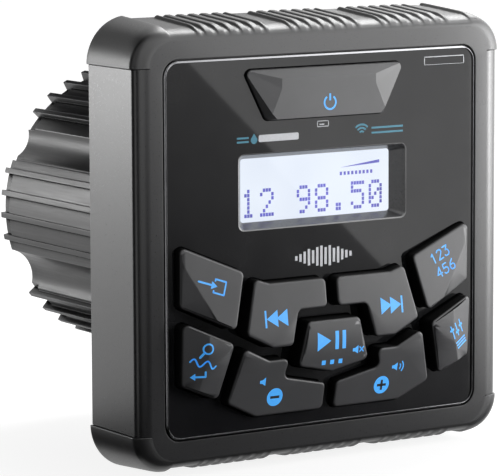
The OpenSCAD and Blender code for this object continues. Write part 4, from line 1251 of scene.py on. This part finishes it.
FRONT = [(STRIP_RIGHT, CARD_LOW), (FRONT_RIGHT, CARD_LOW), (STRIP_RIGHT, SHEEN_LOW_Z)]
SHEEN = [(FRONT_RIGHT, CARD_LOW), (93, 60), (STRIP_RIGHT, SHEEN_TOP_Z), (STRIP_RIGHT, SHEEN_LOW_Z)]
RIM = [(82, CARD_LOW), (100, CARD_LOW), (100, 62), (82, 66)]
CORNER = [(-200, 60), (-200, CARD_Y), (94, CARD_Y), (94, -24), (-57, -24), (-57, 60)]
STRIP = between((STRIP_LEFT, CARD_Y, CARD_LOW), (STRIP_RIGHT, CARD_Y, CARD_TOP))

card("card_front", [(x, CARD_Y, z) for x, z in FRONT], 1.1, (SLANT, -34, 60))
card("card_sheen", [(x, CARD_Y, z) for x, z in SHEEN], 1.95, (UP, -62, -14))
card("card_rim", [(x, RIM_CARD_Y, z) for x, z in RIM], 5.5, (UP, -105, 60))
card("card_strip", STRIP, 1.8, (UP, -60, 80))
card("card_edge", between((-115, CARD_Y, CARD_LOW), (STRIP_LEFT, CARD_Y, CARD_TOP)))
card("card_right", between((480, -150, CARD_LOW), (480, 500, 350)), 2.6)
card("card_left", between((-200, CARD_Y, CARD_LOW), (-200, 100, 400)))
card("card_floor", [(x, y, FLOOR_CARD_Z) for x, y in CORNER])
card("card_below", between((STRIP_RIGHT, 62, BELOW_CARD_Z), (60, 110, BELOW_CARD_Z)))
card("card_top", between((-300, -60, CARD_TOP), (-45, 300, CARD_TOP)))
card("card_above", between((50, -170, CARD_TOP), (290, -20, CARD_TOP)), 7.5, (RIGHT, 20, 260))
card("card_fins", between((-100, 96, 38), (60, 96, 95)))

LAMP_TARGET = (0, -10, 0)


def lamp(name, place, size, power):
    """An area light of a width and height, with its power in watts, that the camera doesn't see."""
    light = bpy.data.lights.new(name, "AREA")
    light.shape = "RECTANGLE"
    light.size, light.size_y = size[0] * MM, size[1] * MM
    light.energy = power
    obj = added(name, light)
    obj.location = Vector(place) * MM
    obj.rotation_euler = (Vector(LAMP_TARGET) - Vector(place)).to_track_quat("-Z", "Y").to_euler()
    obj.visible_camera = False


lamp("light_right", (350, -220, 60), (300, 300), 1.95)
lamp("light_low", (430, -340, 5), (160, 160), 1.05)
lamp("light_back", (400, 300, 500), (300, 300), 2.6)
lamp("light_top", (200, 100, 400), (200, 200), 0.2)
lamp("light_left", (-500, 600, 80), (300, 250), 2.0)


# Camera, fitted to the photograph

CAMERA_AT = (-467.4, -713.7, 112.8)
YAW, PITCH, ROLL = (math.radians(a) for a in (32.781, 7.686, -0.248))
FOCAL_PX, IMAGE_W = 3257.6, 499


def camera():
    """Camera at the photograph's place, looking to the right and a little down."""
    lens = bpy.data.cameras.new("camera")
    lens.lens = FOCAL_PX * lens.sensor_width / IMAGE_W
    obj = added("camera", lens)
    heading = Matrix.Rotation(-YAW, 4, "Z") @ Matrix.Rotation(math.pi / 2 - PITCH, 4, "X")
    turn = heading @ Matrix.Rotation(ROLL, 4, "Z")
    obj.matrix_world = Matrix.Translation(Vector(CAMERA_AT) * MM) @ turn
    bpy.context.scene.camera = obj


camera()
bpy.context.scene.view_settings.view_transform = "Standard"
